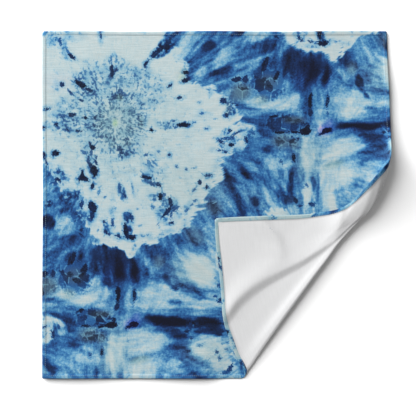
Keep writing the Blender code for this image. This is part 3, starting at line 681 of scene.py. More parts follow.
# %% Chart of the crisp marks
# Columns: x, y, length, width, slant and depth.
MARKS = (
    (61, 41, 11, 3, 85, 0.72), (101, 34, 8, 2.5, 85, 0.85), (72, 56, 8, 4, 40, 0.9),
    (69, 52, 8, 3, 50, 0.6), (112, 71, 15, 4.5, 92, 0.9), (112, 60, 10, 2.5, 90, 0.55),
    (81, 84, 14, 5, 32, 0.95), (90, 90, 9, 3.5, 40, 0.85), (94, 81, 14, 2.5, 55, 0.6),
    (62, 85, 5, 4.5, 0, 0.85), (71, 92, 9, 3, 38, 0.75), (82, 100, 5, 3, 30, 0.8), (47, 109, 8, 3, 0, 0.9),
    (44, 127, 6, 4.5, 0, 0.95), (72, 115, 9, 5, 10, 0.86), (56, 125, 5, 4, 0, 0.85),
    (68, 130, 5, 3, 0, 0.85), (78, 131, 7, 2.5, 5, 0.85), (84, 118, 6, 2.5, 10, 0.95),
    (62, 116, 6, 3, 0, 0.7), (92, 147, 7, 5.5, 20, 0.95), (89, 143, 5, 3, 70, 0.8),
    (56, 154, 8, 5.5, -10, 0.96), (84, 153, 8, 4, 10, 0.6), (91, 153, 7, 4, 80, 0.65),
    (97, 157, 4, 2.5, 60, 0.75), (89, 161, 9, 4, 85, 0.75), (97, 162, 6, 3, 60, 0.8),
    (94, 171, 12, 7, 80, 0.96), (91, 165, 6, 4, 40, 0.85), (82, 173, 8, 4, 88, 0.96),
    (80, 178, 8, 4, -70, 0.96), (84, 178, 9, 4, 45, 0.96), (82, 179, 9, 4, 0, 0.96),
    (92, 186, 6, 4, 90, 0.9), (99, 192, 6, 3, 90, 0.5), (58, 180, 8, 4.5, 0, 0.86),
    (52, 179, 8, 3, 30, 0.6), (151, 131, 5, 3.5, 40, 0.96), (147, 63, 8, 3.5, -50, 0.9),
    (147, 68, 2.5, 2.5, 0, 0.8), (143, 105, 5, 2.5, -10, 0.7), (153, 101, 4, 2.5, 0, 0.65),
    (160, 50, 14, 4, -42, 0.92), (168, 42, 12, 3.5, -52, 0.9), (154, 55, 7, 5, -48, 0.88),
    (174, 35, 8, 4, -50, 0.8), (186, 72, 6, 4.5, 0, 0.95), (186, 80, 8, 5.5, -20, 0.93),
    (169, 86, 6, 3.5, -50, 0.88), (180, 98, 4.5, 3, -10, 0.9), (184, 125, 15, 4, -10, 0.98),
    (174, 121, 4, 3, 0, 0.7), (176, 127, 5, 2.5, 0, 0.65), (167, 127, 4, 3, 0, 0.5),
    (224, 101, 8, 6, 0, 0.84), (227, 115, 6, 4.5, 60, 0.84), (229, 108, 8, 4, 90, 0.62),
    (236, 80, 9, 4.5, 0, 0.88), (246, 79, 8, 5, 90, 0.86), (256, 77, 4, 4, 0, 0.9), (263, 81, 5, 4, 0, 0.9),
    (231, 130, 5, 4, 0, 0.88), (233, 137, 4, 5, 0, 0.75), (231, 145, 5, 4, 0, 0.93),
    (221, 142, 7, 3, 30, 0.85), (226, 139, 10, 2.5, 0, 0.75), (238, 133, 8, 2.5, -20, 0.75),
    (221, 151, 9, 2, 5, 0.75), (225, 153, 4, 3, 0, 0.88), (207, 128, 4, 2.5, 0, 0.6),
    (203, 113, 4, 3, 0, 0.6), (215, 118, 4, 2, 0, 0.4), (200, 103, 4, 2, 0, 0.4), (170, 156, 3, 4, 0, 0.8),
    (176, 166, 3.5, 2.5, 20, 0.6), (186, 169, 3.5, 2.5, 0, 0.65), (193, 168, 3, 2.5, 0, 0.45),
    (158, 151, 4, 2.5, 0, 0.5), (208, 176, 7, 2.5, 0, 0.8), (207, 188, 4.5, 4, 0, 0.85),
    (199, 182, 5, 6, 0, 0.85), (194, 190, 6, 3, -45, 0.6), (196, 201, 5, 3, 0, 0.6),
    (160, 197, 4, 8, 0, 0.97), (164, 195, 4, 5, 0, 0.65), (154, 197, 4, 4, 0, 0.55),
    (171, 203, 10, 4, 60, 0.85), (174, 208, 8, 3.5, 40, 0.75), (167, 212, 15, 4, -48, 0.9),
    (172, 214, 10, 3, 90, 0.7), (171, 223, 5, 4, -20, 0.88), (178, 207, 5, 4, 0, 0.65),
    (163, 205, 5, 2.5, 90, 0.55), (187, 210, 5, 3, -50, 0.65), (192, 205, 5, 2.5, -40, 0.55),
    (153, 206, 4, 2.5, 20, 0.6), (159, 224, 5, 2.5, 90, 0.5), (146, 154, 4, 4, 0, 0.65),
    (148, 163, 8, 4, 80, 0.5), (146, 177, 10, 4, 10, 0.93), (152, 184, 9, 4, 40, 0.7),
    (158, 184, 7, 3.5, 60, 0.8), (144, 177, 4, 3.5, 0, 0.9), (120, 188, 5, 3, 90, 0.7),
    (125, 195, 7, 3, 60, 0.8), (133, 188, 8, 2, 75, 0.45), (106, 197, 3, 2.5, 0, 0.5),
    (137, 209, 3, 2, 0, 0.4), (131, 217, 8, 3, 70, 0.8), (127, 214, 6, 4, 0, 0.65),
    (126, 229, 13, 5, 88, 0.96), (130, 237, 11, 5, -5, 0.96), (104, 221, 4, 3, 0, 0.85),
    (106, 232, 6, 3.5, 60, 0.85), (109, 235, 4, 3, 0, 0.8), (112, 222, 8, 3, 90, 0.75),
    (118, 236, 7, 3, 20, 0.85), (93, 207, 11, 8, 60, 0.93), (92, 216, 10, 4, 95, 0.86),
    (82, 205, 8, 4, 80, 0.8), (143, 236, 5, 2.5, 30, 0.5), (148, 235, 3, 2, 0, 0.45),
    (140, 226, 3, 2, 0, 0.35), (113, 131, 3, 3, 0, 0.5),
    # crackle in the darker ground
    (72, 258, 15, 6, -62, 0.95), (63, 271, 5, 5, 0, 0.86), (71, 274, 6, 4, 30, 0.86),
    (84, 270, 13, 5, -70, 0.95), (77, 281, 8, 5, 35, 0.9), (45, 273, 8, 5, 0, 0.9),
    (53, 273, 7, 6, 90, 0.84),
    (118, 295, 18, 5.0, 92, 1.0), (118, 307, 8, 5.5, 100, 0.9), (134, 295, 15, 4.0, 94, 0.92),
    (134, 305, 9, 1.8, 90, 0.65), (81, 311, 9, 3, -18, 0.96), (95, 313, 8, 5, 5, 0.86),
    (105, 315, 8, 5, 10, 0.82), (110, 318, 5, 4, 0, 0.85), (83, 318, 9, 6, 0, 0.82),
    (86, 326, 12, 2.8, 6, 0.96), (101, 326, 10, 3, -4, 0.97), (112, 325, 11, 7, -4, 1.0),
    (115, 320, 4, 6, 0, 0.95), (134, 324, 9, 6, -15, 1.0), (130, 327, 8, 3, -25, 0.95),
    (101, 352, 8, 3.5, 92, 0.98), (89, 355, 7, 2.6, 65, 0.75), (53, 334, 8, 4, 80, 0.85),
    (60, 327, 6, 3, 60, 0.7), (54, 342, 4, 3, 0, 0.75), (55, 340, 6, 2, 0, 0.6), (89, 345, 5, 2.5, 60, 0.5),
    (128, 341, 4, 3, 90, 0.4), (216, 352, 5, 3.5, 70, 0.75), (219, 358, 5, 3, 60, 0.7),
    (226, 350, 5, 3, 40, 0.6), (229, 368, 11, 4, -58, 0.8), (225, 373, 8, 4, 0, 0.7),
    (236, 349, 9, 3, 65, 0.9), (238, 356, 8, 3, 50, 0.75), (210, 361, 4, 2, 90, 0.45),
    (200, 346, 6, 2.5, -20, 0.5), (210, 364, 3, 2, 0, 0.4), (222, 343, 4, 3, 0, 0.4),
    (189, 352, 5, 3, 0, 0.85), (191, 359, 3, 3, 0, 0.8), (192, 338, 5, 3, 40, 0.8),
    (196, 324, 4, 4, 0, 0.9), (187, 331, 4, 3, 0, 0.9), (215, 296, 4, 3, 0, 0.7), (221, 299, 6, 4, 0, 0.85),
    (220, 286, 4, 4, 0, 0.75), (216, 279, 4, 4, 0, 0.4), (219, 302, 6, 3, 20, 0.75),
    (102, 394, 8, 4, 60, 0.9), (93, 392, 7, 4, 40, 0.85), (108, 400, 5, 3, 0, 0.8),
    (108, 382, 5, 3, 0, 0.5), (118, 399, 7, 4, 0, 0.8), (113, 380, 5, 3, 60, 0.6),
)
print("marks:", len(MARKS))

# %% Spots of another tint over the blue, and of crackle
# Columns: x, y, length, width, slant and strength.
GREY = (
    (101, 123, 16, 12, 0, 0.8), (120, 98, 14, 11, 60, 0.8), (110, 107, 10, 8, 0, 0.8),
    (141, 123, 24, 10, 90, 0.8), (126, 144, 20, 10, 0, 0.8), (113, 145, 12, 11, 0, 0.8),
    (236, 94, 20, 14, -60, 0.6), (268, 82, 24, 18, 0, 0.5), (48, 286, 22, 24, 90, 0.8),
    (68, 294, 18, 12, 0, 0.7), (89, 335, 24, 18, 0, 0.7), (101, 338, 14, 14, 0, 0.7),
    (101, 314, 26, 9, 0, 0.7), (139, 360, 26, 10, -15, 0.9), (159, 262, 14, 16, 0, 0.6),
    (195, 236, 28, 20, 40, 0.5), (214, 207, 24, 20, 60, 0.6), (60, 394, 30, 20, 40, 0.15),
    (182, 75, 18, 12, -60, 0.6), (228, 108, 16, 8, 90, 0.5), (207, 352, 60, 30, 0, 0.4),
    (190, 272, 60, 40, 0, 0.35), (115, 352, 40, 60, 0, 0.35), (100, 396, 20, 14, 0, 0.2),
    (117, 124, 70, 74, 0, 0.75), (115, 120, 150, 150, 0, 0.4), (185, 185, 100, 60, 0, 0.4),
)
VIOLET = (
    (133, 323, 20, 13, -25, 0.9), (116, 268, 34, 28, 90, 0.2), (136, 317, 12, 9, -40, 0.6),
    (134, 276, 24, 12, 90, 0.2), (167, 323, 40, 10, 0, 0.25), (108, 275, 22, 16, 90, 0.25),
    (61, 82, 40, 24, 0, 0.06),
)
GREEN = ((115, 123, 9, 6, 90, 0.9), (182, 76, 12, 6, -50, 0.25), (119, 98, 8, 6, 0, 0.3))
# Where the ground is broken into small cells, as it is where the cloth was pressed into tight pleats.
CRACKLE = (
    (74, 278, 40, 44, -50, 1.0), (48, 286, 22, 26, 90, 0.8), (92, 318, 46, 26, 0, 0.9),
    (92, 336, 34, 20, 0, 0.7), (235, 96, 20, 14, -60, 0.9), (211, 205, 26, 20, 60, 0.5),
    (190, 328, 14, 26, 0, 0.6), (104, 336, 16, 20, 0, 0.6),
)
print("grey, violet, green and crackled spots:", len(GREY), len(VIOLET), len(GREEN), len(CRACKLE))

# %% [markdown]
# The dabs are worked out at each point of the sheet. Dabs are painted one over another, a rosette over the
# dabs between, and its own dabs and the crisp marks last. To keep outlines from looking like ellipses,
# every place is first shifted a little by a cloud of noise, as dye creeps along threads. The results go on
# the mesh as attributes, because the print belongs to the cloth and folds with it.

# %% Shift places and lay dabs
# Clouds that shift places. Columns: size, reach and seed.
CREEP = ((17, 2.6, 10), (6, 1.3, 20))
ROSETTE_CREEP = ((11, 6.5, 30), (5, 4.5, 35))
MARK_CREEP = ((9, 1.2, 60), (3.4, 0.7, 70))
DAB_FADE = 0.5  # a dab fades by its softness inside its outline, and by this share of it outside


def warped(place, clouds):
    """Places shifted by each cloud in turn, with one seed for across and the next for down."""
    for size, reach, seed in clouds:
        place = place + reach * np.stack([cloud(place, size, seed), cloud(place, size, seed + 1)], -1)
    return place


def paint(depth, place, dabs):
    """Each dab covers the depth under it where its reach is below 1, with an outline as soft as its
    softness."""
    for x, y, length, width, slant, value, soft in dabs:
        cover = 1 - ease(dab_reach(place, x, y, length, width, slant), 1 - soft, 1 + soft * DAB_FADE)
        depth += (value - depth) * cover
    return depth


# %% Inside a rosette, and on a mark
LOBES = 92  # small lobes round the outline
LOBE_HEIGHT, LOBE_MIDDLE = 3.6, 0.6  # and the share of that height at which they meet the outline
LOBE_CLOUD = (25, 90)  # size and seed of the cloud that makes them come and go
MARK_SLOPE = 3  # squares in which a mark's field climbs by 1


def rosette_inside(place):
    """Above 0 inside the pale rosette, in chart squares: its radius in a place's direction, with small
    lobes that come and go, less the distance from its middle."""
    way = offset(place, *ROSETTE)
    direction = np.degrees(np.arctan2(way[:, 1], way[:, 0])) % 360
    lobe = np.abs(np.sin(np.radians(direction) * LOBES / 2)) - LOBE_MIDDLE
    lobe *= LOBE_HEIGHT * (1 + cloud(place, *LOBE_CLOUD))
    return smooth(direction, ROSETTE_OUTLINE, 1) + lobe - np.hypot(way[:, 0], way[:, 1])


def mark_field(place):
    """The nearest mark's field and its depth. The field is 0.5 on a mark's outline and climbs inwards by a
    third a square, so that the shader can cut it sharply wherever the mesh's points lie."""
    field = np.full(len(place), -1.0)
    depth = np.zeros(len(place))
    for x, y, length, width, slant, value in MARKS:
        reach = dab_reach(place, x, y, length, width, slant)
        here = 0.5 + (1 - reach) * min(length, width) / 2 / MARK_SLOPE
        better = here > field
        field[better] = here[better]
        depth[better] = value
    return field, depth


# %% The print's fields
# Streaks. Columns: reach, size and seed.
STREAKS = ((12, 5.0, 40), (9, 2.6, 50))
STREAK_SHARE = 0.45  # of each row of them
CALM, CALM_RANGE = 0.7, (-4, 10)  # how much weaker the streaks are inside a rosette, and from where to where
ROSETTE_EDGE = (-0.8, 1.4)  # where a rosette's outline begins and ends, measured inwards
RIM, RIM_AT, RIM_WIDTH = 0.4, 5, 5  # grains along it: how dense, how far inside and how wide
RIM_CLOUD, RIM_RANGE = (14, 80), (-0.3, 0.6)  # size and seed of the cloud that breaks them, and its range
HALO, HALO_RANGE = 0.62, (-1, 0.6)  # dye round a mark: how dense for its depth, and over which field
HALO_LOSS = 0.5  # how much of it is lost where grains are dense
TINT_EDGE = (0.3, 1.3)  # reaches at which a spot of tint begins to fade, and is gone


def print_fields(flat):
    """The print's fields at places on the flat cloth: the soft dye's depth, its streaks, the density of its
    grains, and the crisp marks with their depth."""
    place = chart_place(flat)
    crept = warped(place, CREEP)
    dye = paint(np.full(len(place), GROUND), crept, POOLS + BAND)
    inside = rosette_inside(warped(crept, ROSETTE_CREEP))
    dye += (ROSETTE_DEPTH - dye) * ease(inside, *ROSETTE_EDGE)
    streak = sum(STREAK_SHARE * streaks(place, *row) for row in STREAKS)
    streak *= 1 - CALM * ease(inside, *CALM_RANGE)
    mark, mark_depth = mark_field(warped(place, MARK_CREEP))
    grains = paint(np.zeros(len(place)), crept, ROSETTE_DABS)
    rim = RIM * np.exp(-(((inside - RIM_AT) / RIM_WIDTH) ** 2))
    grains = np.maximum(grains, rim * ease(cloud(place, *RIM_CLOUD), *RIM_RANGE))
    halo = HALO * mark_depth * ease(mark, *HALO_RANGE)
    grains = np.maximum(grains, halo * (1 - ease(grains, 0, 1) * HALO_LOSS))
    return {"dye": dye, "streak": streak, "grains": grains, "mark": mark, "mark_depth": mark_depth}


def from_rosette(flat):
    """The way from the nearest rosette's middle, in millimetres, for a pattern that radiates from it."""
    way = offset(chart_place(flat), *ROSETTE) * SQUARE
    return np.column_stack([way, np.zeros(len(way))])


def tint_fields(flat):
    """How grey, violet, green and crackled the print is at each place."""
    place = chart_place(flat)
    total = np.zeros((4, len(place)))
    for column, spots in enumerate((GREY, VIOLET, GREEN, CRACKLE)):
        for x, y, length, width, slant, value in spots:
            cover = value * (1 - ease(dab_reach(place, x, y, length, width, slant), *TINT_EDGE))
            total[column] = np.maximum(total[column], cover)
    return total


def add_field(mesh, name, values):
    """One number for each point of the mesh, which the print reads by its name."""
    field = mesh.attributes.new(name, "FLOAT", "POINT")
    field.data.foreach_set("value", values.astype(np.float32))

# %% Put the print on the cloth
fields = print_fields(flat)
fields.update(zip(("grey", "violet", "green", "crackle"), tint_fields(flat)))
for name, values in fields.items():
    add_field(mesh, name, values)
way = mesh.attributes.new("from_rosette", "FLOAT_VECTOR", "POINT")
way.data.foreach_set("vector", from_rosette(flat).astype(np.float32).ravel())
print("dye, least and most:", round(float(fields["dye"].min()), 2), round(float(fields["dye"].max()), 2))

# %% [markdown]
# ## The finish
#
# Three effects are used by both the printed front and the white back, so each is a group of nodes made
# once: the weave, the distance to the nearest edge, and the print. The back needs the print too, because
# the hem is the front turned over. All of them read the cloth's own map, which holds each point's place on
# the flat square.

# %% Helpers for wiring nodes
def node(tree, kind, values=(), **settings):
    """A node with its settings, and its inputs either linked from a socket or set to a value."""
    made = tree.nodes.new(kind)
    for name, value in settings.items():
        setattr(made, name, value)
    for name, value in dict(values).items():
        if isinstance(value, bpy.types.NodeSocket):
            tree.links.new(value, made.inputs[name])
        else:
            made.inputs[name].default_value = value
    return made


def sum_up(tree, operation, a, b=0.0, c=0.0, clamp=False):
    """The result of a sum on up to three numbers or sockets."""
    return node(tree, "ShaderNodeMath", {0: a, 1: b, 2: c}, operation=operation, use_clamp=clamp).outputs[0]


def mix_colour(tree, share, a, b, way="MIX"):
    """A colour from a to b, or to what the way makes of both, as the share goes from 0 to 1."""
    made = node(tree, "ShaderNodeMix", {0: share, 6: a, 7: b}, data_type="RGBA", blend_type=way)
    return made.outputs[2]


def blend(tree, share, a, b):
    """A number from a to b as the share goes from 0 to 1."""
    return node(tree, "ShaderNodeMix", {0: share, 2: a, 3: b}, data_type="FLOAT").outputs[0]


def remap(tree, value, start, end, low=0.0, high=1.0):
    """The value's way from start to end, as a number from low to high, held at both ends."""
    return node(tree, "ShaderNodeMapRange", {0: value, 1: start, 2: end, 3: low, 4: high}).outputs[0]


def soft_step(tree, value, start, end):
    """0 before start, 1 past end, and a soft S between them."""
    made = node(tree, "ShaderNodeMapRange", {0: value, 1: start, 2: end}, interpolation_type="SMOOTHSTEP")
    return made.outputs[0]


# %% Helpers for groups and noise
def new_group(name, **outputs):
    """A group of nodes with a socket of its own kind for each output, and the node that they end in."""
    group = bpy.data.node_groups.new(name, "ShaderNodeTree")
    for label, kind in outputs.items():
        group.interface.new_socket(name=label, in_out="OUTPUT", socket_type=kind)
    return group, group.nodes.new("NodeGroupOutput")


def flat_millimetres(tree, stretch=(1.0, 1.0)):
    """The place on the flat cloth in millimetres, divided by stretch."""
    place = tree.nodes.new("ShaderNodeUVMap")
    place.uv_map = "cloth"
    scale = (WIDTH / stretch[0], HEIGHT / stretch[1], 1.0)
    return node(tree, "ShaderNodeMapping", {"Vector": place.outputs[0], "Scale": scale}).outputs[0]


def noise(tree, size, detail=2.0, stretch=(1.0, 1.0)):
    """Noise from 0 to 1 with features of about the given size in millimetres."""
    vector = flat_millimetres(tree, stretch)
    made = node(tree, "ShaderNodeTexNoise", {"Vector": vector, "Scale": 1 / size, "Detail": detail})
    made.noise_dimensions = "2D"
    return made.outputs[0]


# %% Group: woven cotton
THREAD = 0.42  # millimetres from thread to thread
# Slubs, the thicker stretches of a thread: width and height in millimetres, and share of the whole.
WEFT, WEFT_SHARE = (26.0, 1.5), 0.8
WARP, WARP_SHARE = (2.4, 16.0), 0.2
CROSSING_SHADE, CROSSING_HEIGHT = 0.04, 0.25  # how much each crossing of two threads shows
SLUB_HEIGHT = 1.6
NUMBER = "NodeSocketFloat"
weave, out = new_group("woven cotton", Shade=NUMBER, Height=NUMBER)
split = node(weave, "ShaderNodeSeparateXYZ", {0: flat_millimetres(weave)})
over = sum_up(weave, "SINE", sum_up(weave, "MULTIPLY", split.outputs[0], math.pi / THREAD))
under = sum_up(weave, "SINE", sum_up(weave, "MULTIPLY", split.outputs[1], math.pi / THREAD))
crossing = sum_up(weave, "MULTIPLY", over, under)
slub = sum_up(weave, "MULTIPLY", noise(weave, 1.0, 1.0, WEFT), WEFT_SHARE)
slub = sum_up(weave, "MULTIPLY_ADD", noise(weave, 1.0, 1.0, WARP), WARP_SHARE, slub)
shade = sum_up(weave, "MULTIPLY_ADD", crossing, CROSSING_SHADE, slub)
weave.links.new(shade, out.inputs["Shade"])
height = sum_up(weave, "MULTIPLY", slub, SLUB_HEIGHT)
height = sum_up(weave, "MULTIPLY_ADD", crossing, CROSSING_HEIGHT, height)
weave.links.new(height, out.inputs["Height"])
print("nodes in the weave:", len(weave.nodes))

# %% Group: distance to the edge, in millimetres
border, out = new_group("distance to the edge", Distance=NUMBER)
split = node(border, "ShaderNodeSeparateXYZ", {0: flat_millimetres(border)})
x, y = split.outputs[0], split.outputs[1]
near_x = sum_up(border, "MINIMUM", x, sum_up(border, "SUBTRACT", WIDTH, x))
near_y = sum_up(border, "MINIMUM", y, sum_up(border, "SUBTRACT", HEIGHT, y))
border.links.new(sum_up(border, "MINIMUM", near_x, near_y), out.inputs["Distance"])
print("nodes in the distance to the edge:", len(border.nodes))

# %% [markdown]
# The print's group turns the painted fields into a colour. Real dye shows finer detail than points of a
# mesh can carry: fibres, grains, a crackle where the cloth was pressed, and crisp outlines. Noise in the
# shader adds them to the depth, which then reads its colour from a ramp.

# %% The dye's colours, from none to the deepest
LIGHT_ON_CLOTH = 1.6  # how much brighter than its own colour the cloth shows under this light


def dyed(red, green, blue):
    """A colour as it should show, turned into the cloth's own: by the sRGB curve, then over the light."""
    shown = np.array([red, green, blue]) / 255
    linear = np.where(shown <= 0.04045, shown / 12.92, ((shown + 0.055) / 1.055) ** 2.4)
    return (*(linear / LIGHT_ON_CLOTH), 1.0)


DYE = (
    (0.0, dyed(194, 205, 205)),
    (0.1, dyed(180, 200, 205)),
    (0.25, dyed(140, 182, 203)),
    (0.4, dyed(90, 151, 190)),
    (0.55, dyed(52, 112, 167)),
    (0.68, dyed(37, 82, 140)),
    (0.82, dyed(26, 50, 94)),
    (1.0, dyed(17, 21, 36)),
)
print("deepest dye:", [round(float(part), 4) for part in DYE[-1][1][:3]])

# %% Group: tie-dye print
tie_dye, out = new_group("tie-dye print", Color="NodeSocketColor")


def field(name):
    """What was painted on the cloth under that name."""
    return node(tie_dye, "ShaderNodeAttribute", attribute_type="GEOMETRY", attribute_name=name).outputs["Fac"]


def times(value, factor, more=0.0):
    """A value times a factor, and more added to it."""
    return sum_up(tie_dye, "MULTIPLY_ADD", value, factor, more)


def total(a, b):
    """Two values added."""
    return sum_up(tie_dye, "ADD", a, b)


def less(a, b):
    """The first value, and the second taken from it."""
    return sum_up(tie_dye, "SUBTRACT", a, b)


def centred(value, strength):
    """A value around 0.5 made one around 0, times a strength."""
    return times(less(value, 0.5), strength)


# %% Rays round a rosette
# A place is given as a point of a circle and a distance, so noise there makes rays that meet inside.
RAY_CIRCLE = 95.0  # millimetres from a rosette's middle where its rays are as wide as their noise
ray = node(tie_dye, "ShaderNodeAttribute", attribute_type="GEOMETRY", attribute_name="from_rosette")
ray = ray.outputs["Vector"]
outwards = node(tie_dye, "ShaderNodeVectorMath", {0: ray}, operation="LENGTH").outputs["Value"]
heading = node(tie_dye, "ShaderNodeVectorMath", {0: ray}, operation="NORMALIZE").outputs["Vector"]
ring = node(tie_dye, "ShaderNodeVectorMath", {0: heading, "Scale": RAY_CIRCLE}, operation="SCALE")
ring = node(tie_dye, "ShaderNodeSeparateXYZ", {0: ring.outputs["Vector"]}).outputs


def ray_noise(size, length):
    """Noise of the given size in millimetres, drawn out along the rays by length."""
    far = sum_up(tie_dye, "DIVIDE", outwards, length)
    place = node(tie_dye, "ShaderNodeCombineXYZ", {"X": ring[0], "Y": ring[1], "Z": far}).outputs[0]
    return node(tie_dye, "ShaderNodeTexNoise", {0: place, "Scale": 1 / size, "Detail": 3.0}).outputs[0]


# %% Soft dye, with streaks along the folds and fine fibres along the rays
FIBRES, FIBRE_STRENGTH = (4.0, 4.0), 1.6  # size in millimetres and detail of the noise
RAYS, RAY_STRENGTH = (3.6, 10.0), 2.6  # size, and how many times longer they are outwards
LEAST_ROOM = 0.02  # how far the noise still moves the palest and the deepest dye
soft_dye, grains = field("dye"), field("grains")
room = times(soft_dye, less(1.0, soft_dye), LEAST_ROOM)
ragged = total(field("streak"), centred(noise(tie_dye, *FIBRES), FIBRE_STRENGTH))
ragged = total(ragged, centred(ray_noise(*RAYS), RAY_STRENGTH))
depth_now = times(ragged, room, soft_dye)

# %% Grains: the denser they lie, the deeper each is, with a pale wash between
# Ranges are the noise's own from and to, then what they become.
CLUMPS, CLUMP_RANGE = (13.0, 2.0), (0.36, 0.64, 0.78, 1.16)
LOOSE, LOOSE_SHARE = (4.4, 4.0), 0.55
RAYED, RAYED_SHARE = (5.2, 2.5), 0.45
GRAIN_RANGE = (0.36, 0.64)
WASH, WASH_RANGE = (16.0, 4.0), (0.3, 0.7, 0.25, 0.8)
GREY_WASH = -0.45  # what the wash loses where the print is grey
GRAIN_DEPTH, GRAIN_LEAST = 0.85, 0.12  # a grain's depth for its density, and what each has on top
GRAIN_EDGE = (-0.12, 0.32)  # where a grain begins, and where it is in full
grains = times(grains, remap(tie_dye, noise(tie_dye, *CLUMPS), *CLUMP_RANGE))
loose = noise(tie_dye, *LOOSE)
grain = times(loose, LOOSE_SHARE, times(ray_noise(*RAYED), RAYED_SHARE))
grain = remap(tie_dye, grain, *GRAIN_RANGE)
wash = remap(tie_dye, noise(tie_dye, *WASH), *WASH_RANGE)
wash = times(grains, times(wash, times(field("grey"), GREY_WASH, 1.0)))
depth_now = sum_up(tie_dye, "MAXIMUM", depth_now, wash)
over = less(total(grain, grains), 1.0)
grain_depth = sum_up(tie_dye, "MAXIMUM", times(grains, GRAIN_DEPTH, GRAIN_LEAST), depth_now)
depth_now = blend(tie_dye, soft_step(tie_dye, over, *GRAIN_EDGE), depth_now, grain_depth)

# %% Crackle: cells of different depth with paler lines between them
CELL = (14.0, 17.0)  # width and height of a cell in millimetres
CELL_LEAST, CELL_SPREAD = 0.56, 0.42  # the palest cell's depth, and how much deeper the deepest is
LINE_RANGE = (0.03, 0.09, 0.45, 0.0)  # in cells from their border, and how much paler a line is there
LINE_BREAKS, LINE_BREAK_RANGE = (10.0, 2.0), (0.42, 0.58)
CRACKLE_RANGE, CRACKLE_SHARE = (0.3, 0.8), 0.85
in_cells = {"Vector": flat_millimetres(tie_dye, CELL), "Scale": 1.0, "Randomness": 1.0}
cells = node(tie_dye, "ShaderNodeTexVoronoi", in_cells, voronoi_dimensions="2D")
gaps = node(tie_dye, "ShaderNodeTexVoronoi", in_cells, voronoi_dimensions="2D", feature="DISTANCE_TO_EDGE")
own = node(tie_dye, "ShaderNodeSeparateColor", {0: cells.outputs["Color"]}).outputs[0]
own = times(own, CELL_SPREAD, CELL_LEAST)
line = remap(tie_dye, gaps.outputs["Distance"], *LINE_RANGE)
line = times(line, remap(tie_dye, noise(tie_dye, *LINE_BREAKS), *LINE_BREAK_RANGE))
own = times(own, less(1.0, line))
broken = soft_step(tie_dye, total(field("crackle"), centred(loose, 1.0)), *CRACKLE_RANGE)
depth_now = blend(tie_dye, times(broken, CRACKLE_SHARE), depth_now, own)

# %% Marks with ragged outlines, and a fine grain over everything
# Size in millimetres and detail of a noise, then its strength.
OUTLINE, OUTLINE_STRENGTH = (2.2, 2.0), 0.9
MARK_EDGE = (0.36, 0.64)
INK, INK_STRENGTH = (3.0, 2.0), 0.3
FINE_GRAIN, FINE_STRENGTH = (1.7, 2.0), 0.22
outline = total(field("mark"), centred(noise(tie_dye, *OUTLINE), OUTLINE_STRENGTH))
mark_now = total(field("mark_depth"), centred(noise(tie_dye, *INK), INK_STRENGTH))
depth_now = blend(tie_dye, soft_step(tie_dye, outline, *MARK_EDGE), depth_now, mark_now)
fine = centred(noise(tie_dye, *FINE_GRAIN), FINE_STRENGTH)
depth_now = sum_up(tie_dye, "ADD", depth_now, fine, clamp=True)

# %% Colour of each depth, with grey, violet and green tints
GREY_SATURATION = 0.36
GREY_TINT = (0.42, 0.64, 0.62, 1.0)
GREY_RANGE = (0.0, 0.4, 0.25, 0.9)  # depths from and to, and how much of the grey they take
VIOLET_TINT = (0.9, 0.52, 1.0, 1.0)
GREEN_TINT = (1.08, 1.1, 0.72, 1.0)


def tinted(share, colour, tinting, tint):
    """The colour, and by its share the tinting times the tint."""
    return mix_colour(tie_dye, share, colour, mix_colour(tie_dye, 1.0, tinting, tint, "MULTIPLY"))


ramp_node = tie_dye.nodes.new("ShaderNodeValToRGB")
tie_dye.links.new(depth_now, ramp_node.inputs[0])
stops = ramp_node.color_ramp.elements
while len(stops) < len(DYE):
    stops.new(0.5)
for stop, (place, colour) in zip(stops, DYE):
    stop.position, stop.color = place, colour
blue = ramp_node.outputs[0]
grey = node(tie_dye, "ShaderNodeHueSaturation", {"Saturation": GREY_SATURATION, "Color": blue}).outputs[0]
grey_share = times(field("grey"), remap(tie_dye, depth_now, *GREY_RANGE))
coloured = tinted(grey_share, blue, grey, GREY_TINT)
coloured = tinted(field("violet"), coloured, coloured, VIOLET_TINT)
coloured = tinted(field("green"), coloured, coloured, GREEN_TINT)
tie_dye.links.new(coloured, out.inputs["Color"])
print("nodes in the print:", len(tie_dye.nodes))

# %% [markdown]
# The front is the print with the weave over it. The back is undyed cotton, where the threads alone give a
# little shade, and its hem shows the print. Both are rough, because cotton has no gloss, with a soft sheen
# from loose fibres.

# %% Printed front and white back
ROUGHNESS = 0.92
SPECULAR = 0.12  # loose fibres scatter most of what would be gloss
WHITE = (0.44, 0.442, 0.446, 1.0)
# painted shade: the print on the back's hem is darkened and greyed a little for the partial shadow it lies in
BACK_HEM_PAINTED_SHADE = (0.8, 0.84, 0.83, 1.0)  # the hem on the back is a little darker than the front
BACK_HEM = (HEM_WIDTH - 0.6, HEM_WIDTH + 0.2)  # where its print ends, in millimetres from the edge
WEAVE_RANGE = (0.25, 0.75)  # the weave's own shades that become 1 less the rib, and 1 more the rib
WEAVE_RELIEF, WEAVE_STRENGTH = 0.00012, 0.6  # in metres, and as a share


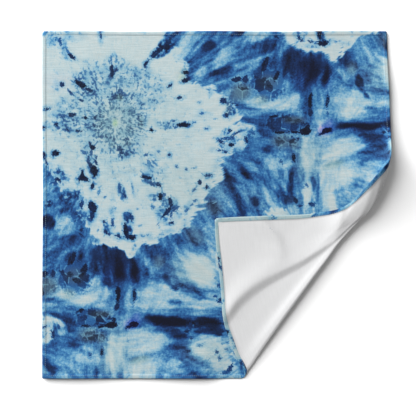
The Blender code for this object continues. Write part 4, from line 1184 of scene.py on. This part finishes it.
def cotton(name, printed, rib):
    """The print all over, or white cotton with the print on its hem. The rib is how strongly threads show."""
    material = bpy.data.materials.new(name)
    material.use_nodes = True
    tree = material.node_tree
    shader = tree.nodes["Principled BSDF"]
    shader.inputs["Roughness"].default_value = ROUGHNESS
    shader.inputs["Specular IOR Level"].default_value = SPECULAR
    woven = node(tree, "ShaderNodeGroup", node_tree=weave).outputs
    colour = node(tree, "ShaderNodeGroup", node_tree=tie_dye).outputs[0]
    edge = node(tree, "ShaderNodeGroup", node_tree=border).outputs[0]
    if not printed:
        inside = soft_step(tree, edge, *BACK_HEM)
        # painted shade: the print on the back's hem is darkened by a fixed factor
        colour = mix_colour(tree, 1.0, colour, BACK_HEM_PAINTED_SHADE, "MULTIPLY")
        colour = mix_colour(tree, inside, colour, WHITE)
    shade = remap(tree, woven["Shade"], *WEAVE_RANGE, 1.0 - rib, 1.0 + rib)
    colour = mix_colour(tree, 1.0, colour, shade, "MULTIPLY")
    tree.links.new(colour, shader.inputs["Base Color"])
    relief = {"Height": woven["Height"], "Distance": WEAVE_RELIEF, "Strength": WEAVE_STRENGTH}
    tree.links.new(node(tree, "ShaderNodeBump", relief).outputs[0], shader.inputs["Normal"])
    mesh.materials.append(material)


cotton("printed cotton", True, 0.09)
cotton("white back", False, 0.03)
print("finishes of the cloth:", [finish.name for finish in mesh.materials])

# %% [markdown]
# ## The stitches
#
# A row of machine stitches holds the hem. Each is a small lens of thread that dips into the cloth at both
# ends. The rows are laid out on the flat square and carried to the laid sheet, on its front and on its back
# alike, so they follow the fold.

# %% Rows of stitches, and where they lie on the sheet
STITCH_IN = 4.9  # from the cloth's edge
STITCH_PITCH = 3.2  # from one to the next
STITCH_LENGTH = 2.3
SMALL_STEP = 0.4  # along the cloth, to find the way out of it


def on_sheet(points, sign):
    """Where points of the flat cloth lie on the laid sheet's front or back, and the way out of it there:
    the cross product of small steps along both sides of the square."""
    spots = []
    for move in ((0, 0), (SMALL_STEP, 0), (0, SMALL_STEP)):
        at = points + move
        d = (at[:, 0] - FOLD_FOOT) * ACROSS[0] + at[:, 1] * ACROSS[1]
        start, end = flat_ends(d)
        way = end - start
        share = ((at - start) * way).sum(-1) / (way**2).sum(-1)
        _, middle, thick = sheet_middle(d, share[:, None])
        spots.append(middle[:, 0])
        if move == (0, 0):
            half = thick / 2
    out = np.cross(spots[1] - spots[0], spots[2] - spots[0])
    out *= sign / np.linalg.norm(out, axis=1, keepdims=True)
    return spots[0] + out * half, out


def stitch_rows():
    """Middles and directions of all stitches on the flat square, one row inside each side."""
    low, high = STITCH_IN, np.array([WIDTH, HEIGHT]) - STITCH_IN
    rows = []
    for axis in (0, 1):
        run = np.arange(low + STITCH_PITCH, high[axis] - STITCH_PITCH, STITCH_PITCH)
        for level in (low, high[1 - axis]):
            middle = np.empty((len(run), 2))
            middle[:, axis], middle[:, 1 - axis] = run, level
            rows.append((middle, np.tile(np.eye(2)[axis], (len(run), 1))))
    return [np.concatenate(part) for part in zip(*rows)]


# %% The stitches' mesh
THREAD_RADIUS = 0.26
# Columns: place along a stitch, from -1 to 1, and the thread's swell there.
STITCH_RINGS = np.array([[-1.0, 0.05], [-0.55, 0.8], [0.0, 1.0], [0.55, 0.8], [1.0, 0.05]])


def stitch_mesh():
    """Each stitch is rings of four points along its length, thick in the middle and thin at both ends."""
    middle, along = stitch_rows()
    corners = np.array([[1, 0], [0, 1], [-1, 0], [0, -1]]) * THREAD_RADIUS
    rings, sides = len(STITCH_RINGS), len(corners)
    points = []
    for sign in (1, -1):
        place, out = on_sheet(middle, sign)
        ahead, _ = on_sheet(middle + along * STITCH_LENGTH / 2, sign)
        behind, _ = on_sheet(middle - along * STITCH_LENGTH / 2, sign)
        way = (ahead - behind) / 2
        beside = np.cross(out, way)
        beside /= np.linalg.norm(beside, axis=1, keepdims=True)
        for at, swell in STITCH_RINGS:
            for across, up in corners * swell:
                points.append(place + way * at + beside * across + out * up)
    points = np.array(points).reshape(2, rings * sides, len(middle), 3).swapaxes(1, 2).reshape(-1, 3)
    points[:, :2] -= SOLID_CENTRE
    number = np.arange(len(points)).reshape(-1, rings, sides)
    after = np.roll(number, -1, axis=2)
    walls = np.stack([number[:, :-1], after[:, :-1], after[:, 1:], number[:, 1:]], -1)
    ends = np.stack([number[:, 0, ::-1], number[:, -1]], 1)
    faces = np.concatenate([walls.reshape(-1, sides), ends.reshape(-1, sides)])
    made = bpy.data.meshes.new("hem_stitches")
    made.from_pydata((points * MM).tolist(), [], faces.tolist())
    made.polygons.foreach_set("use_smooth", [True] * len(made.polygons))
    return made


stitches = bpy.data.objects.new("hem_stitches", stitch_mesh())
bpy.context.scene.collection.objects.link(stitches)
stitches.data.calc_loop_triangles()
print("stitch triangles:", len(stitches.data.loop_triangles))

# %% Thread
THREAD_ROUGHNESS = 0.7
PLY_SCALE = 2500.0  # a turn of the thread's plies is about 0.4 mm
PLY_DARK, PLY_LIGHT = dyed(120, 150, 172), dyed(172, 192, 202)
thread = bpy.data.materials.new("sewing thread")
thread.use_nodes = True
shader = thread.node_tree.nodes["Principled BSDF"]
shader.inputs["Roughness"].default_value = THREAD_ROUGHNESS
place = thread.node_tree.nodes.new("ShaderNodeTexCoord").outputs["Object"]
ply = node(thread.node_tree, "ShaderNodeTexNoise", {0: place, "Scale": PLY_SCALE, "Detail": 1.0}).outputs[0]
tone = mix_colour(thread.node_tree, ply, PLY_DARK, PLY_LIGHT)
thread.node_tree.links.new(tone, shader.inputs["Base Color"])
stitches.data.materials.append(thread)
print("finish of the stitches:", thread.name)

# %% [markdown]
# ## The table and the light
#
# The cloth was photographed on a plain white table. Its shadows are soft and fall to the lower right, so
# one broad lamp stands at the upper left. A second lamp, lower on the same side, widens the shadow along
# the lower and right edges, and an even white world fills what both leave dark.

# %% Floor and light
FLOOR_HALF = 3.0
FLOOR_WHITE = 0.77
WORLD_STRENGTH = 0.36
# Columns: name, place, size and power.
LAMPS = (
    ("key", (-2.75, 2.75, 2.95), 5.2, 495),
    ("low window", (-3.3, 3.3, 1.45), 2.2, 215),
)

floor_mesh = bpy.data.meshes.new("floor")
corners = [(x * FLOOR_HALF, y * FLOOR_HALF, 0) for x, y in ((-1, -1), (1, -1), (1, 1), (-1, 1))]
floor_mesh.from_pydata(corners, [], [(0, 1, 2, 3)])
floor = bpy.data.objects.new("floor", floor_mesh)
bpy.context.scene.collection.objects.link(floor)
white = bpy.data.materials.new("white table")
white.use_nodes = True
shader = white.node_tree.nodes["Principled BSDF"]
shader.inputs["Base Color"].default_value = (FLOOR_WHITE, FLOOR_WHITE, FLOOR_WHITE, 1)
shader.inputs["Roughness"].default_value = 1.0
floor_mesh.materials.append(white)


def area_light(name, place, size, power):
    """A round lamp that points at the middle of the cloth."""
    data = bpy.data.lights.new(name, "AREA")
    data.shape = "DISK"
    data.size = size
    data.energy = power
    lamp = bpy.data.objects.new(name, data)
    lamp.location = place
    lamp.rotation_euler = (-lamp.location).to_track_quat("-Z", "Y").to_euler()
    bpy.context.scene.collection.objects.link(lamp)


for lamp in LAMPS:
    area_light(*lamp)
world = bpy.data.worlds.new("studio")
bpy.context.scene.world = world
world.use_nodes = True
world.node_tree.nodes["Background"].inputs["Color"].default_value = (1, 1, 1, 1)
world.node_tree.nodes["Background"].inputs["Strength"].default_value = WORLD_STRENGTH
print("lamps:", [row[0] for row in LAMPS])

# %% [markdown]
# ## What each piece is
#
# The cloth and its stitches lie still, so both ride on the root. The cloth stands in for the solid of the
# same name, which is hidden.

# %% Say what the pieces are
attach(cloth, "root")
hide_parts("cloth")
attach(stitches, "root")
